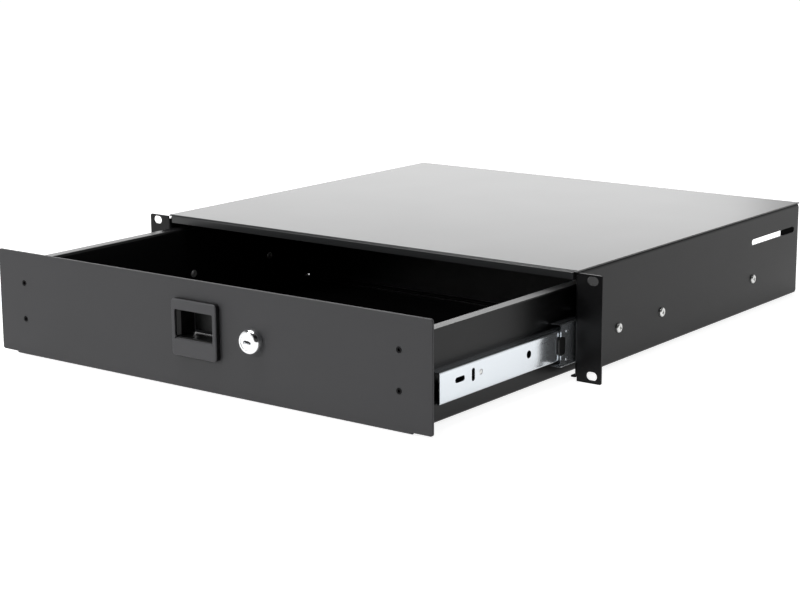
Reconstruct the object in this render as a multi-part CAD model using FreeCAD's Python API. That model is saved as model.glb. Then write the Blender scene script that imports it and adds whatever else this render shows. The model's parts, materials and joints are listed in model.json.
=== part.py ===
import FreeCAD, Part
import math
import os

# A two-unit rack drawer: a folded chassis with rack ears, a tray on a pair of
# three-section ball slides, a flat front panel, a push-paddle latch and a cam lock.
# Millimetres. The origin is the centre of the four ear slots, in the plane of the
# ears' front faces. +X is to the right, +Y to the rear and +Z up. The drawer is
# modelled partly open.

Vec = FreeCAD.Vector

# two places closer than this count as the same
near = 1e-6

# ---- rack ears ----
rack_width = 482.6
ear_reach = 23.3
slot_edge_distance = 8.75
slot_spacing_z = 76.2
slot_length = 10.0
slot_width = 7.0
ear_top = 43.0
ear_bottom = -44.0
ear_corner_radius = 1.5

# ---- chassis: two folded sides under a flat cover ----
chassis_width = rack_width - 2.0 * ear_reach
chassis_depth = 393.0
chassis_top = 44.4
chassis_bottom = -42.0
side_sheet = 1.5
cover_sheet = 1.2
bend_radius = 1.0
top_lip_width = 14.0
bottom_lip_width = 5.8
rear_return_width = 18.0
header_height = 7.2
header_end_gap = 3.5
rear_lip_height = 12.0
rear_lip_end_gap = 2.0
side_slot_length = 85.0
side_slot_width = 5.5
side_slot_rear_margin = 10.5
side_slot_height = 20.3
brace_sheet = 1.2
brace_height = 24.0
brace_depth = 13.0
brace_end_gap = 0.3
rivet_radius = 1.6
rivet_head_radius = 3.2
rivet_head_height = 1.0
rivet_head_round = 0.6
rivet_tail_radius = 2.4
rivet_spacing = 12.0
rivet_inset = 9.9

# ---- ball slides ----
slide_thickness = 12.7
slide_height = -13.4
outer_rail_height = 45.7
outer_rail_front = 18.0
outer_rail_rear_room = 25.0
outer_rail_length = chassis_depth - outer_rail_front - outer_rail_rear_room
outer_rail_sheet = 1.2
rail_sheet = 1.0
rail_bend_radius = 0.8
web_gap = 0.8
ball_diameter = 4.6
ball_play = 0.2
track_depth = 0.4
ball_line_inset = 6.3
ball_pitch = 17.0
balls_per_row = 10
cage_sheet = 0.4
cage_end_margin = 6.0
cage_leg_overhang = 3.4
cage_hole_play = 0.1
outer_flange_reach = 9.9
mid_flange_reach = 9.2
mid_setback = 2.0
inner_setback = 3.1
stop_thickness = 4.0
stop_corner_radius = 1.2
stop_height = 20.0
stop_width = 7.0
rail_end_gap = 1.0
outer_screw_places = (47.2, 117.3, 283.0)
inner_screw_places = (52.0, 189.0, 295.0)
inner_hole_rise = 2.2
long_slot_place = 25.2
long_slot_length = 12.0
long_slot_width = 4.2
tall_slot_place = 42.0
tall_slot_length = 10.0
tall_slot_width = 4.0
spare_hole_places = (116.0, 244.0)
spare_hole_radius = 2.1
spare_ring_radius = 3.8
spare_ring_depth = 0.6
dimple_radius = 2.2
dimple_height = 0.5
dimple_place = 8.0
dimple_rise = 11.3
bumper_notch_depth = 6.0
bumper_height = 15.0
bumper_reach = 3.0
bumper_extra = 0.1

# ---- how far each moving set stands out, and the cages at the closed drawer ----
drawer_opening = 196.1
mid_opening = 36.0
cage_closed_place = 92.0

# ---- tray and front panel ----
closed_gap = 0.5
panel_side_reach = 5.4
panel_thickness = 2.0
panel_top = 43.9
panel_bottom = -42.7
panel_end_rise = 1.2
panel_end_width = 17.9
panel_corner_radius = 2.0
panel_edge_radius = 0.4
tray_rear_reach = 11.5
tray_sheet = 1.2
tray_top = 32.5
tray_bottom = -41.9
tray_flange_width = 9.6
tray_tab_width = 12.0
panel_screw_inset = 9.8
panel_screw_heights = (17.9, -12.4)

# ---- fasteners ----
hole_play = 0.15
screw_head_round = 0.7
rail_screw_radius = 2.0
outer_screw_head_radius = 4.0
outer_screw_head_height = 1.9
inner_screw_head_radius = 3.6
inner_screw_head_height = 1.7
spacer_radius = 4.0
panel_screw_radius = 1.5
panel_screw_head_radius = 2.5
panel_screw_head_depth = 1.2
panel_nut_width = 5.5
panel_nut_height = 2.4
socket_width = 2.0
socket_depth = 0.9
cross_width = 0.9
cross_depth = 0.8
cross_rim = 1.2

# ---- latch ----
latch_width = 46.0
latch_height = 45.0
latch_centre_z = 6.0
latch_proud = 4.8
latch_corner_radius = 3.0
latch_edge_radius = 1.1
window_side_band = 3.4
window_top_band = 8.3
window_bottom_band = 15.0
window_corner_radius = 1.2
window_flare = 2.4
lip_bevel = 2.0
cup_wall = 1.5
cup_depth = 13.2
cutout_play = 0.3
latch_screw_x = 12.0
latch_screw_rise = 7.0
latch_screw_radius = 1.5
latch_screw_head_radius = 2.8
latch_screw_head_height = 1.5
latch_screw_bite = 2.6
pin_radius = 1.5
pin_back = 15.0
pin_height = 31.0
pin_play = 0.08
pin_head_radius = 2.4
pin_head_height = 0.8
hub_radius = 3.0
paddle_sheet = 2.0
paddle_play = 0.4
paddle_bottom = 0.4
paddle_arm_width = 6.0
paddle_arm_thickness = 1.6
paddle_arm_tip_gap = 1.2
paddle_grip_height = 1.6
paddle_ribs = 4
paddle_first_rib = 1.8
paddle_rib_pitch = 3.6
paddle_pad_width = 3.0
frame_sheet = 1.2
frame_bottom = 24.0
frame_cheek_top = 35.0
frame_foot_width = 8.5
frame_foot_top = 31.0
bridge_top = 29.4
bridge_floor = 1.6
bolt_width = 12.0
bolt_thickness = 4.0
bolt_top = 41.0
bolt_bottom = 27.2
bolt_shoulder = 3.0
bolt_shoulder_top = 31.4
bolt_ramp_drop = 4.6
bolt_ramp_land = 1.0
bolt_window_play = 0.8
bolt_play = 0.4
bolt_front_gap = 1.0
spring_wire_radius = 0.4
spring_turns = 4.25
spring_pitch = 1.0
spring_play = 0.3
spring_leg_length = 9.0

# ---- cam lock ----
lock_x = 56.2
lock_z = 4.6
lock_rim_radius = 10.2
lock_proud = 7.0
lock_rim_fillet = 2.0
lock_body_radius = 8.5
lock_body_back = 14.0
lock_plug_radius = 6.2
lock_plug_play = 0.08
plug_recess = 0.3
keyway_length = 7.0
keyway_width = 1.6
keyway_depth = 5.0
cam_sheet = 2.0
cam_gap = 0.4
cam_width = 10.0
cam_reach = 36.4
cam_hub_reach = 15.0
cam_tip_gap = 1.0
cam_square = 6.4
cam_square_play = 0.1
cam_screw_radius = 1.6
cam_screw_head_radius = 4.0
cam_screw_head_height = 2.0
lock_nut_width = 21.0
lock_nut_height = 3.0
lock_washer_radius = 11.6
lock_washer_thickness = 0.8
washer_teeth = 12

# ---- places worked out from the sizes above ----
slot_spacing_x = rack_width - 2.0 * slot_edge_distance
wall_outer = chassis_width / 2.0
wall_inner = wall_outer - side_sheet
cover_bottom = chassis_top - cover_sheet
header_bottom = chassis_top - header_height
rivet_x = wall_outer - rivet_inset
rivet_middle = chassis_bottom + brace_height / 2.0
rivet_heights = (rivet_middle - rivet_spacing / 2.0, rivet_middle + rivet_spacing / 2.0)
outer_web = wall_inner - outer_rail_sheet
mid_web_outer = outer_web - web_gap
mid_web_inner = mid_web_outer - rail_sheet
inner_web_outer = mid_web_inner - web_gap
inner_web_inner = inner_web_outer - rail_sheet
tray_outer = wall_inner - slide_thickness
tray_inner = tray_outer - tray_sheet
ball_x = wall_inner - ball_line_inset
ball_radius = ball_diameter / 2.0
track_radius = ball_radius + ball_play
ball_gap = 2.0 * (track_radius - track_depth)
outer_half = outer_rail_height / 2.0
mid_half = outer_half - outer_rail_sheet - ball_gap
inner_half = mid_half - rail_sheet - ball_gap
outer_ball_rise = mid_half + ball_gap / 2.0
inner_ball_rise = inner_half + ball_gap / 2.0
mid_rail_front = outer_rail_front + mid_setback - mid_opening
mid_rail_length = outer_rail_length - mid_setback - stop_thickness - rail_end_gap
inner_rail_front = outer_rail_front + inner_setback - drawer_opening
inner_rail_length = outer_rail_length - inner_setback - stop_thickness - rail_end_gap
inner_rail_rear = inner_rail_front + inner_rail_length
cage_length = ball_pitch * (balls_per_row - 1) + 2.0 * cage_end_margin
outer_cage_front = outer_rail_front + cage_closed_place - mid_opening / 2.0
inner_cage_front = outer_rail_front + cage_closed_place - (mid_opening + drawer_opening) / 2.0
panel_width = chassis_width + 2.0 * panel_side_reach
panel_screw_x = tray_outer - panel_screw_inset
panel_back = -closed_gap - drawer_opening
panel_front = panel_back - panel_thickness
tray_front_back = panel_back + tray_sheet
tray_rear = inner_rail_rear + tray_rear_reach
latch_front = panel_front - latch_proud
latch_top = latch_centre_z + latch_height / 2.0
latch_bottom = latch_centre_z - latch_height / 2.0
window_top = latch_top - window_top_band
window_bottom = latch_bottom + window_bottom_band
window_half = latch_width / 2.0 - window_side_band
cup_inner_half = window_half - window_flare
cup_outer_half = cup_inner_half + cup_wall
cup_top = window_top + cup_wall
cup_bottom = window_bottom - cup_wall
cup_back = panel_back + cup_depth
pin_y = panel_back + pin_back
bolt_front = tray_front_back + bolt_front_gap
bolt_back = bolt_front + bolt_thickness
hole_radius_rail = rail_screw_radius + hole_play


def box(x0, x1, y0, y1, z0, z1):
    """A block between two corners."""
    return Part.makeBox(x1 - x0, y1 - y0, z1 - z0, Vec(x0, y0, z0))


def rod(radius, start, direction, length):
    """A round bar from a start point along a direction."""
    return Part.makeCylinder(radius, length, Vec(*start), Vec(*direction))


def aim(shape, position, direction):
    """Turn a shape's +Z to a direction and move its origin to a position."""
    turn = FreeCAD.Rotation(Vec(0, 0, 1), Vec(*direction))
    moved = shape.copy()
    moved.Placement = FreeCAD.Placement(Vec(*position), turn)
    return moved


def prism(points, direction):
    """A flat outline through the points, extruded along a direction."""
    closed = [Vec(*p) for p in points]
    closed.append(closed[0])
    return Part.Face(Part.makePolygon(closed)).extrude(Vec(*direction))


def joined(shapes):
    """One solid from overlapping or touching shapes."""
    result = shapes[0]
    for shape in shapes[1:]:
        result = result.fuse(shape)
    return result.removeSplitter()


def without(shape, tools):
    """A shape with every tool shape cut from it."""
    return shape.cut(Part.makeCompound(tools))


def rounded(shape, radius, wanted):
    """Fillet the edges that a test picks."""
    return shape.makeFillet(radius, [edge for edge in shape.Edges if wanted(edge)])


def runs_along(edge, axis):
    """Is a straight edge parallel to an axis (0 X, 1 Y, 2 Z)?"""
    if len(edge.Vertexes) != 2 or not isinstance(edge.Curve, Part.Line):
        return False
    step = edge.Vertexes[1].Point - edge.Vertexes[0].Point
    return abs(abs(step[axis]) - step.Length) < near


def left_of(step):
    """The unit vector a quarter turn to the left of a flat step."""
    size = math.hypot(step[0], step[1])
    return (-step[1] / size, step[0] / size)


def shifted(point, direction, distance):
    """A flat point moved along a direction."""
    return (point[0] + direction[0] * distance, point[1] + direction[1] * distance)


def fold_side(path, half, radius, side):
    """One skin of a folded sheet: straight runs, and an arc at each bend."""
    steps = [(b[0] - a[0], b[1] - a[1]) for a, b in zip(path, path[1:])]
    runs = []
    start = shifted(path[0], left_of(steps[0]), half * side)
    for corner, before, after in zip(path[1:-1], steps, steps[1:]):
        left_before = left_of(before)
        left_after = left_of(after)
        along_before = (left_before[1], -left_before[0])
        along_after = (left_after[1], -left_after[0])
        cross = along_before[0] * along_after[1] - along_before[1] * along_after[0]
        dot = along_before[0] * along_after[0] + along_before[1] * along_after[1]
        turn = math.atan2(cross, dot)
        trim = (radius + half) * math.tan(abs(turn) / 2.0)
        sense = math.copysign(1.0, turn)
        first = shifted(corner, along_before, -trim)
        centre = shifted(first, left_before, (radius + half) * sense)
        out = (corner[0] - centre[0], corner[1] - centre[1])
        reach = math.hypot(out[0], out[1])
        skin_radius = radius + half - half * side * sense
        begin = shifted(first, left_before, half * side)
        middle = shifted(centre, (out[0] / reach, out[1] / reach), skin_radius)
        end = shifted(shifted(corner, along_after, trim), left_after, half * side)
        runs.append(("line", start, begin))
        runs.append(("arc", begin, middle, end))
        start = end
    runs.append(("line", start, shifted(path[-1], left_of(steps[-1]), half * side)))
    return runs


def folded(path, thickness, radius, place, depth):
    """A folded sheet: the path is its middle line, seen edge on, and depth its length."""
    half = thickness / 2.0
    one = fold_side(path, half, radius, 1.0)
    other = fold_side(path, half, radius, -1.0)
    edges = []
    for run in one + other:
        points = [place(*p) for p in run[1:]]
        if run[0] == "line":
            edges.append(Part.makeLine(points[0], points[1]))
        else:
            edges.append(Part.Arc(points[0], points[1], points[2]).toShape())
    edges.append(Part.makeLine(place(*one[0][1]), place(*other[0][1])))
    edges.append(Part.makeLine(place(*one[-1][2]), place(*other[-1][2])))
    wire = Part.Wire(Part.__sortEdges__(edges))
    return Part.Face(wire).extrude(depth)


def folded_xz(path, thickness, radius, y0, y1):
    """A sheet folded about lines along Y."""
    return folded(path, thickness, radius, lambda a, b: Vec(a, y0, b), Vec(0, y1 - y0, 0))


def folded_xy(path, thickness, radius, z0, z1):
    """A sheet folded about lines along Z."""
    return folded(path, thickness, radius, lambda a, b: Vec(a, b, z0), Vec(0, 0, z1 - z0))


def folded_yz(path, thickness, radius, x0, x1):
    """A sheet folded about lines along X."""
    return folded(path, thickness, radius, lambda a, b: Vec(x0, a, b), Vec(x1 - x0, 0, 0))


def oval_x(length, width, x, z, y0, y1):
    """A slot with round ends, long along X, cut along Y."""
    half = (length - width) / 2.0
    ends = [rod(width / 2.0, (x + s * half, y0, z), (0, 1, 0), y1 - y0) for s in (-1, 1)]
    middle = box(x - half, x + half, y0, y1, z - width / 2.0, z + width / 2.0)
    return joined([middle] + ends)


def oval_y(length, width, y, z, x0, x1):
    """A slot with round ends, long along Y, cut along X."""
    half = (length - width) / 2.0
    ends = [rod(width / 2.0, (x0, y + s * half, z), (1, 0, 0), x1 - x0) for s in (-1, 1)]
    middle = box(x0, x1, y - half, y + half, z - width / 2.0, z + width / 2.0)
    return joined([middle] + ends)


def oval_z(length, width, y, z, x0, x1):
    """A slot with round ends, long along Z, cut along X."""
    half = (length - width) / 2.0
    ends = [rod(width / 2.0, (x0, y, z + s * half), (1, 0, 0), x1 - x0) for s in (-1, 1)]
    middle = box(x0, x1, y - width / 2.0, y + width / 2.0, z - half, z + half)
    return joined([middle] + ends)


def hexagon(width, height):
    """A hexagonal bar along +Z, width across its flats."""
    corner = width / math.sqrt(3.0)
    angles = [math.radians(60.0 * i) for i in range(6)]
    points = [(corner * math.cos(a), corner * math.sin(a), 0) for a in angles]
    return prism(points, (0, 0, height))


def pan_screw(radius, length, head_radius, head_height):
    """A pan-head screw with a cross recess: head below the origin, shank along +Z."""
    head = Part.makeCylinder(head_radius, head_height, Vec(0, 0, -head_height))
    head = rounded(head, screw_head_round, lambda e: e.CenterOfMass.z < -head_height + near)
    half = cross_width / 2.0
    arm = head_radius - cross_rim
    low = -head_height
    deep = -head_height + cross_depth
    cross = [box(-arm, arm, -half, half, low, deep), box(-half, half, -arm, arm, low, deep)]
    shank = Part.makeCylinder(radius, length)
    return joined([without(head, cross), shank])


def mirrored(shape):
    """The same piece on the left side."""
    return shape.mirror(Vec(0, 0, 0), Vec(1, 0, 0))


def both_sides(shapes):
    """A group of separate right-side solids with their left-side copies."""
    return Part.makeCompound(shapes + [mirrored(shape) for shape in shapes])


# ---- chassis ----

def side_panel():
    """The right side: wall, rack ear, rear return, top and bottom lips, from one sheet."""
    half = side_sheet / 2.0
    wall_mid = wall_outer - half
    ear_edge = rack_width / 2.0
    relief = bend_radius + side_sheet
    ear_start = wall_outer + bend_radius
    wall_path = [(ear_start + half, half), (wall_mid, half), (wall_mid, chassis_depth - half),
                 (wall_outer - rear_return_width, chassis_depth - half)]
    wall_low = chassis_bottom + relief
    wall_high = cover_bottom - relief
    wall = folded_xy(wall_path, side_sheet, bend_radius, wall_low, wall_high)
    lip_path = [(wall_outer - top_lip_width, cover_bottom - half), (wall_mid, cover_bottom - half),
                (wall_mid, chassis_bottom + half),
                (wall_outer - bottom_lip_width, chassis_bottom + half)]
    lips = folded_xz(lip_path, side_sheet, bend_radius, relief, chassis_depth - relief)
    ear = box(ear_start, ear_edge, 0, side_sheet, ear_bottom, ear_top)

    def outer_corner(edge):
        return runs_along(edge, 1) and edge.CenterOfMass.x > ear_edge - near

    ear = rounded(ear, ear_corner_radius, outer_corner)
    slots = []
    for sign in (-1, 1):
        height = sign * slot_spacing_z / 2.0
        slots.append(oval_x(slot_length, slot_width, slot_spacing_x / 2.0, height,
                            -side_sheet, 2.0 * side_sheet))
    for place in outer_screw_places:
        start = (outer_web, outer_rail_front + place, slide_height)
        slots.append(rod(hole_radius_rail, start, (1, 0, 0), wall_outer))
    slot_y = chassis_depth - side_slot_rear_margin - side_slot_length / 2.0
    slots.append(oval_y(side_slot_length, side_slot_width, slot_y, side_slot_height,
                        wall_inner - side_sheet, wall_outer + side_sheet))
    for z in rivet_heights:
        slots.append(rod(rivet_radius + hole_play, (rivet_x, 0, z), (0, 1, 0), chassis_depth))
    return without(joined([wall, lips, ear]), slots)


def top_cover():
    """The flat cover, with a header lip turned down at the front and one at the rear."""
    half = cover_sheet / 2.0
    path = [(half, header_bottom), (half, chassis_top - half),
            (chassis_depth - half, chassis_top - half),
            (chassis_depth - half, chassis_top - rear_lip_height)]
    sheet = folded_yz(path, cover_sheet, bend_radius, -wall_outer, wall_outer)
    header_end = wall_outer - header_end_gap
    rear_end = wall_outer - rear_return_width - rear_lip_end_gap
    relief = cover_sheet + bend_radius
    notches = []
    for sign in (-1, 1):
        front_edges = sorted((sign * header_end, sign * rack_width))
        rear_edges = sorted((sign * rear_end, sign * rack_width))
        notches.append(box(front_edges[0], front_edges[1], -relief, relief,
                           header_bottom - relief, cover_bottom))
        notches.append(box(rear_edges[0], rear_edges[1], chassis_depth - relief,
                           chassis_depth + relief, -chassis_top, cover_bottom))
    return without(sheet, notches)


def rear_brace():
    """An angle that ties the two sides together at the rear, behind the closed drawer."""
    half = brace_sheet / 2.0
    back = chassis_depth - side_sheet - half
    floor = chassis_bottom + side_sheet + half
    path = [(back, chassis_bottom + brace_height), (back, floor), (back - brace_depth, floor)]
    reach = wall_inner - bend_radius - brace_end_gap
    angle = folded_yz(path, brace_sheet, bend_radius, -reach, reach)
    holes = []
    for sign in (-1, 1):
        for z in rivet_heights:
            start = (sign * rivet_x, back - brace_depth, z)
            holes.append(rod(rivet_radius + hole_play, start, (0, 1, 0), chassis_depth))
    return without(angle, holes)


def brace_rivets():
    """The rivets through the rear returns and the brace."""
    grip = side_sheet + brace_sheet
    head = Part.makeCylinder(rivet_head_radius, rivet_head_height, Vec(0, 0, -rivet_head_height))
    head = rounded(head, rivet_head_round,
                   lambda e: e.CenterOfMass.z < -rivet_head_height + near)
    body = Part.makeCylinder(rivet_radius, grip)
    tail = Part.makeCylinder(rivet_tail_radius, rivet_head_height, Vec(0, 0, grip))
    rivet = joined([head, body, tail])
    rivets = []
    for z in rivet_heights:
        rivets.append(aim(rivet, (rivet_x, chassis_depth, z), (0, -1, 0)))
    return both_sides(rivets)


# ---- ball slides ----

def channel(web_outer, sheet, half, reach, front, length):
    """A C channel lying along Y: web on the outside, flanges towards the drawer."""
    mid_web = web_outer - sheet / 2.0
    mid_flange = half - sheet / 2.0
    tip = web_outer - reach
    path = [(tip, slide_height + mid_flange), (mid_web, slide_height + mid_flange),
            (mid_web, slide_height - mid_flange), (tip, slide_height - mid_flange)]
    return folded_xz(path, sheet, rail_bend_radius, front, front + length)


def ball_tracks(rise, front, length):
    """The two round grooves that a pair of ball rows runs in."""
    tracks = []
    for sign in (-1, 1):
        start = (ball_x, front, slide_height + sign * rise)
        tracks.append(rod(track_radius, start, (0, 1, 0), length))
    return tracks


def outer_rail():
    """The fixed section, screwed to the chassis wall."""
    rail = channel(wall_inner, outer_rail_sheet, outer_half, outer_flange_reach,
                   outer_rail_front, outer_rail_length)
    holes = ball_tracks(outer_ball_rise, outer_rail_front, outer_rail_length)
    for place in outer_screw_places:
        start = (outer_web - web_gap, outer_rail_front + place, slide_height)
        holes.append(rod(hole_radius_rail, start, (1, 0, 0), slide_thickness))
    return without(rail, holes)


def mid_rail():
    """The middle section, with stop dimples and a notch for its front bumper."""
    rail = channel(mid_web_outer, rail_sheet, mid_half, mid_flange_reach,
                   mid_rail_front, mid_rail_length)
    for sign in (-1, 1):
        centre = Vec(mid_web_outer + dimple_height - dimple_radius,
                     mid_rail_front + dimple_place, slide_height + sign * dimple_rise)
        ball = Part.makeSphere(dimple_radius, centre)
        keep = box(mid_web_inner + rail_sheet / 2.0, wall_inner, mid_rail_front,
                   mid_rail_front + 2.0 * dimple_place, slide_height - outer_half,
                   slide_height + outer_half)
        rail = joined([rail, ball.common(keep)])
    cuts = ball_tracks(outer_ball_rise, mid_rail_front, mid_rail_length)
    cuts += ball_tracks(inner_ball_rise, mid_rail_front, mid_rail_length)
    cuts.append(bumper_outline(mid_web_inner - rail_sheet, mid_web_outer + rail_sheet))
    return without(rail, cuts)


def bumper_outline(x0, x1):
    """The bumper's shape in the notch of the middle rail, between two X planes."""
    front = mid_rail_front - bumper_reach
    back = mid_rail_front + bumper_notch_depth
    half = bumper_height / 2.0
    block = box(x0, x1, front, back, slide_height - half, slide_height + half)
    return rounded(block, bumper_reach, lambda e: runs_along(e, 0))


def mid_rail_bumper():
    """The nylon bumper clipped into the front of the middle rail."""
    return bumper_outline(mid_web_inner - bumper_extra, mid_web_outer + bumper_extra)


def inner_rail():
    """The drawer section: its web faces outwards and its flanges rest on the tray."""
    rail = channel(inner_web_outer, rail_sheet, inner_half, inner_web_outer - tray_outer,
                   inner_rail_front, inner_rail_length)
    cuts = ball_tracks(inner_ball_rise, inner_rail_front, inner_rail_length)
    height = slide_height + inner_hole_rise
    x0 = inner_web_inner - rail_sheet
    x1 = inner_web_outer + rail_sheet
    cuts.append(oval_y(long_slot_length, long_slot_width, inner_rail_front + long_slot_place,
                       height, x0, x1))
    cuts.append(oval_z(tall_slot_length, tall_slot_width, inner_rail_front + tall_slot_place,
                       height, x0, x1))
    for place in inner_screw_places:
        start = (x0, inner_rail_front + place, height)
        cuts.append(rod(hole_radius_rail, start, (1, 0, 0), x1 - x0))
    for place in spare_hole_places:
        start = (x0, inner_rail_front + place, height)
        cuts.append(rod(spare_hole_radius, start, (1, 0, 0), x1 - x0))
        mouth = Vec(inner_web_outer - spare_ring_depth, inner_rail_front + place, height)
        cuts.append(Part.makeCone(spare_hole_radius, spare_ring_radius, spare_ring_depth,
                                  mouth, Vec(1, 0, 0)))
    return without(rail, cuts)


def cage(web_mid, rise, front):
    """A ball cage: a thin U strip between two rails, with a hole round every ball."""
    tip = ball_x - cage_leg_overhang
    path = [(tip, slide_height + rise), (web_mid, slide_height + rise),
            (web_mid, slide_height - rise), (tip, slide_height - rise)]
    strip = folded_xz(path, cage_sheet, cage_sheet, front, front + cage_length)
    holes = []
    for i in range(balls_per_row):
        y = front + cage_end_margin + i * ball_pitch
        start = (ball_x, y, slide_height - rise - track_radius)
        holes.append(rod(ball_radius + cage_hole_play, start, (0, 0, 1), 2.0 * track_radius))
        start = (ball_x, y, slide_height + rise - track_radius)
        holes.append(rod(ball_radius + cage_hole_play, start, (0, 0, 1), 2.0 * track_radius))
    return without(strip, holes)


def balls(rise, front):
    """The two ball rows of one cage."""
    row = []
    for i in range(balls_per_row):
        for sign in (-1, 1):
            y = front + cage_end_margin + i * ball_pitch
            row.append(Part.makeSphere(ball_radius, Vec(ball_x, y, slide_height + sign * rise)))
    return Part.makeCompound(row)


def slide_stops():
    """The nylon end stops in the rear of the two outer rails."""
    rear = outer_rail_front + outer_rail_length
    half = stop_height / 2.0
    stop = box(outer_web - stop_width, outer_web, rear - stop_thickness, rear,
               slide_height - half, slide_height + half)
    stop = rounded(stop, stop_corner_radius, lambda e: runs_along(e, 0))
    return both_sides([stop])


def outer_rail_screws():
    """The zinc screws through the chassis walls into the outer rails."""
    length = wall_outer - outer_web
    screw = pan_screw(rail_screw_radius, length, outer_screw_head_radius,
                      outer_screw_head_height)
    screws = []
    for place in outer_screw_places:
        screws.append(aim(screw, (wall_outer, outer_rail_front + place, slide_height), (-1, 0, 0)))
    return both_sides(screws)


def inner_rail_screws():
    """The screws from inside the tray, through the spacers, into the inner rails."""
    length = inner_web_outer - tray_inner
    screw = pan_screw(rail_screw_radius, length, inner_screw_head_radius,
                      inner_screw_head_height)
    height = slide_height + inner_hole_rise
    screws = []
    for place in inner_screw_places:
        screws.append(aim(screw, (tray_inner, inner_rail_front + place, height), (1, 0, 0)))
    return both_sides(screws)


def rail_spacers():
    """The round spacers between the tray walls and the webs of the inner rails."""
    height = slide_height + inner_hole_rise
    length = inner_web_inner - tray_outer
    spacers = []
    for place in inner_screw_places:
        start = (tray_outer, inner_rail_front + place, height)
        tube = rod(spacer_radius, start, (1, 0, 0), length)
        spacers.append(without(tube, [rod(hole_radius_rail, start, (1, 0, 0), length)]))
    return both_sides(spacers)


# ---- tray and front panel ----

def tray_pan():
    """The tray's floor and sides in one sheet, the top edges turned out over the slides."""
    half = tray_sheet / 2.0
    wall = tray_outer - half
    top = tray_top - half
    floor = tray_bottom + half
    tip = tray_outer + tray_flange_width
    path = [(-tip, top), (-wall, top), (-wall, floor), (wall, floor), (wall, top), (tip, top)]
    pan = folded_xz(path, tray_sheet, bend_radius, panel_back, tray_rear)
    holes = []
    height = slide_height + inner_hole_rise
    for place in inner_screw_places:
        start = (-wall_inner, inner_rail_front + place, height)
        holes.append(rod(hole_radius_rail, start, (1, 0, 0), chassis_width))
    return without(pan, holes)


def front_openings(y0, y1):
    """What passes through the front of the drawer: latch cup, lock and the screws."""
    half = cup_outer_half + cutout_play
    tools = [box(-half, half, y0, y1, cup_bottom - cutout_play, cup_top + cutout_play)]
    start = (lock_x, y0, lock_z)
    tools.append(rod(lock_body_radius + cutout_play, start, (0, 1, 0), y1 - y0))
    for sign in (-1, 1):
        for z in panel_screw_heights:
            start = (sign * panel_screw_x, y0, z)
            tools.append(rod(panel_screw_radius + hole_play, start, (0, 1, 0), y1 - y0))
        start = (sign * latch_screw_x, y0, latch_bottom + latch_screw_rise)
        tools.append(rod(latch_screw_radius + hole_play, start, (0, 1, 0), y1 - y0))
    return tools


def end_wall(y_face, inward):
    """A tray end wall with a tab on the floor and on each side, all turned inwards."""
    half = tray_sheet / 2.0
    middle = y_face + inward * half
    floor = tray_bottom + tray_sheet + half
    tip = y_face + inward * tray_tab_width
    relief = tray_sheet + bend_radius
    reach = tray_inner - relief
    wall = folded_yz([(middle, tray_top), (middle, floor), (tip, floor)],
                     tray_sheet, bend_radius, -reach, reach)
    side = tray_inner - half
    path = [(-side, tip), (-side, middle), (side, middle), (side, tip)]
    tabs = folded_xy(path, tray_sheet, bend_radius, tray_bottom + tray_sheet + relief, tray_top)
    return joined([wall, tabs])


def tray_front():
    """The tray's front wall, which carries the front panel, the latch and the lock."""
    return without(end_wall(panel_back, 1.0), front_openings(panel_front, pin_y))


def tray_back():
    """The tray's rear wall."""
    return end_wall(tray_rear, -1.0)


def front_panel():
    """The flat front panel: its bottom edge steps up a little at each end."""
    half = panel_width / 2.0
    step = half - panel_end_width
    high = panel_bottom + panel_end_rise
    points = [(-half, high), (-step, high), (-step, panel_bottom), (step, panel_bottom),
              (step, high), (half, high), (half, panel_top), (-half, panel_top)]
    plate = prism([(x, panel_front, z) for x, z in points], (0, panel_thickness, 0))

    def end_corner(edge):
        return runs_along(edge, 1) and abs(edge.CenterOfMass.x) > half - near

    def front_rim(edge):
        return abs(edge.CenterOfMass.y - panel_front) < near

    plate = rounded(plate, panel_corner_radius, end_corner)
    plate = rounded(plate, panel_edge_radius, front_rim)
    tools = front_openings(panel_front - panel_thickness, panel_back + panel_thickness)
    for sign in (-1, 1):
        for z in panel_screw_heights:
            mouth = Vec(sign * panel_screw_x, panel_front, z)
            tools.append(Part.makeCone(panel_screw_head_radius + hole_play,
                                       panel_screw_radius + hole_play, panel_screw_head_depth,
                                       mouth, Vec(0, 1, 0)))
    return without(plate, tools)


def panel_screws():
    """The countersunk socket screws that hold the front panel."""
    grip = panel_thickness + tray_sheet + panel_nut_height
    shank = Part.makeCylinder(panel_screw_radius, grip)
    head = Part.makeCone(panel_screw_head_radius, panel_screw_radius, panel_screw_head_depth)
    screw = without(joined([head, shank]), [hexagon(socket_width, socket_depth)])
    screws = []
    for z in panel_screw_heights:
        screws.append(aim(screw, (panel_screw_x, panel_front, z), (0, 1, 0)))
    return both_sides(screws)


def panel_nuts():
    """The nuts of the panel screws, behind the tray's front wall."""
    bore = Part.makeCylinder(panel_screw_radius + hole_play, panel_nut_height)
    nut = without(hexagon(panel_nut_width, panel_nut_height), [bore])
    nuts = []
    for z in panel_screw_heights:
        nuts.append(aim(nut, (panel_screw_x, tray_front_back, z), (0, 1, 0)))
    return both_sides(nuts)


# ---- latch ----

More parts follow.
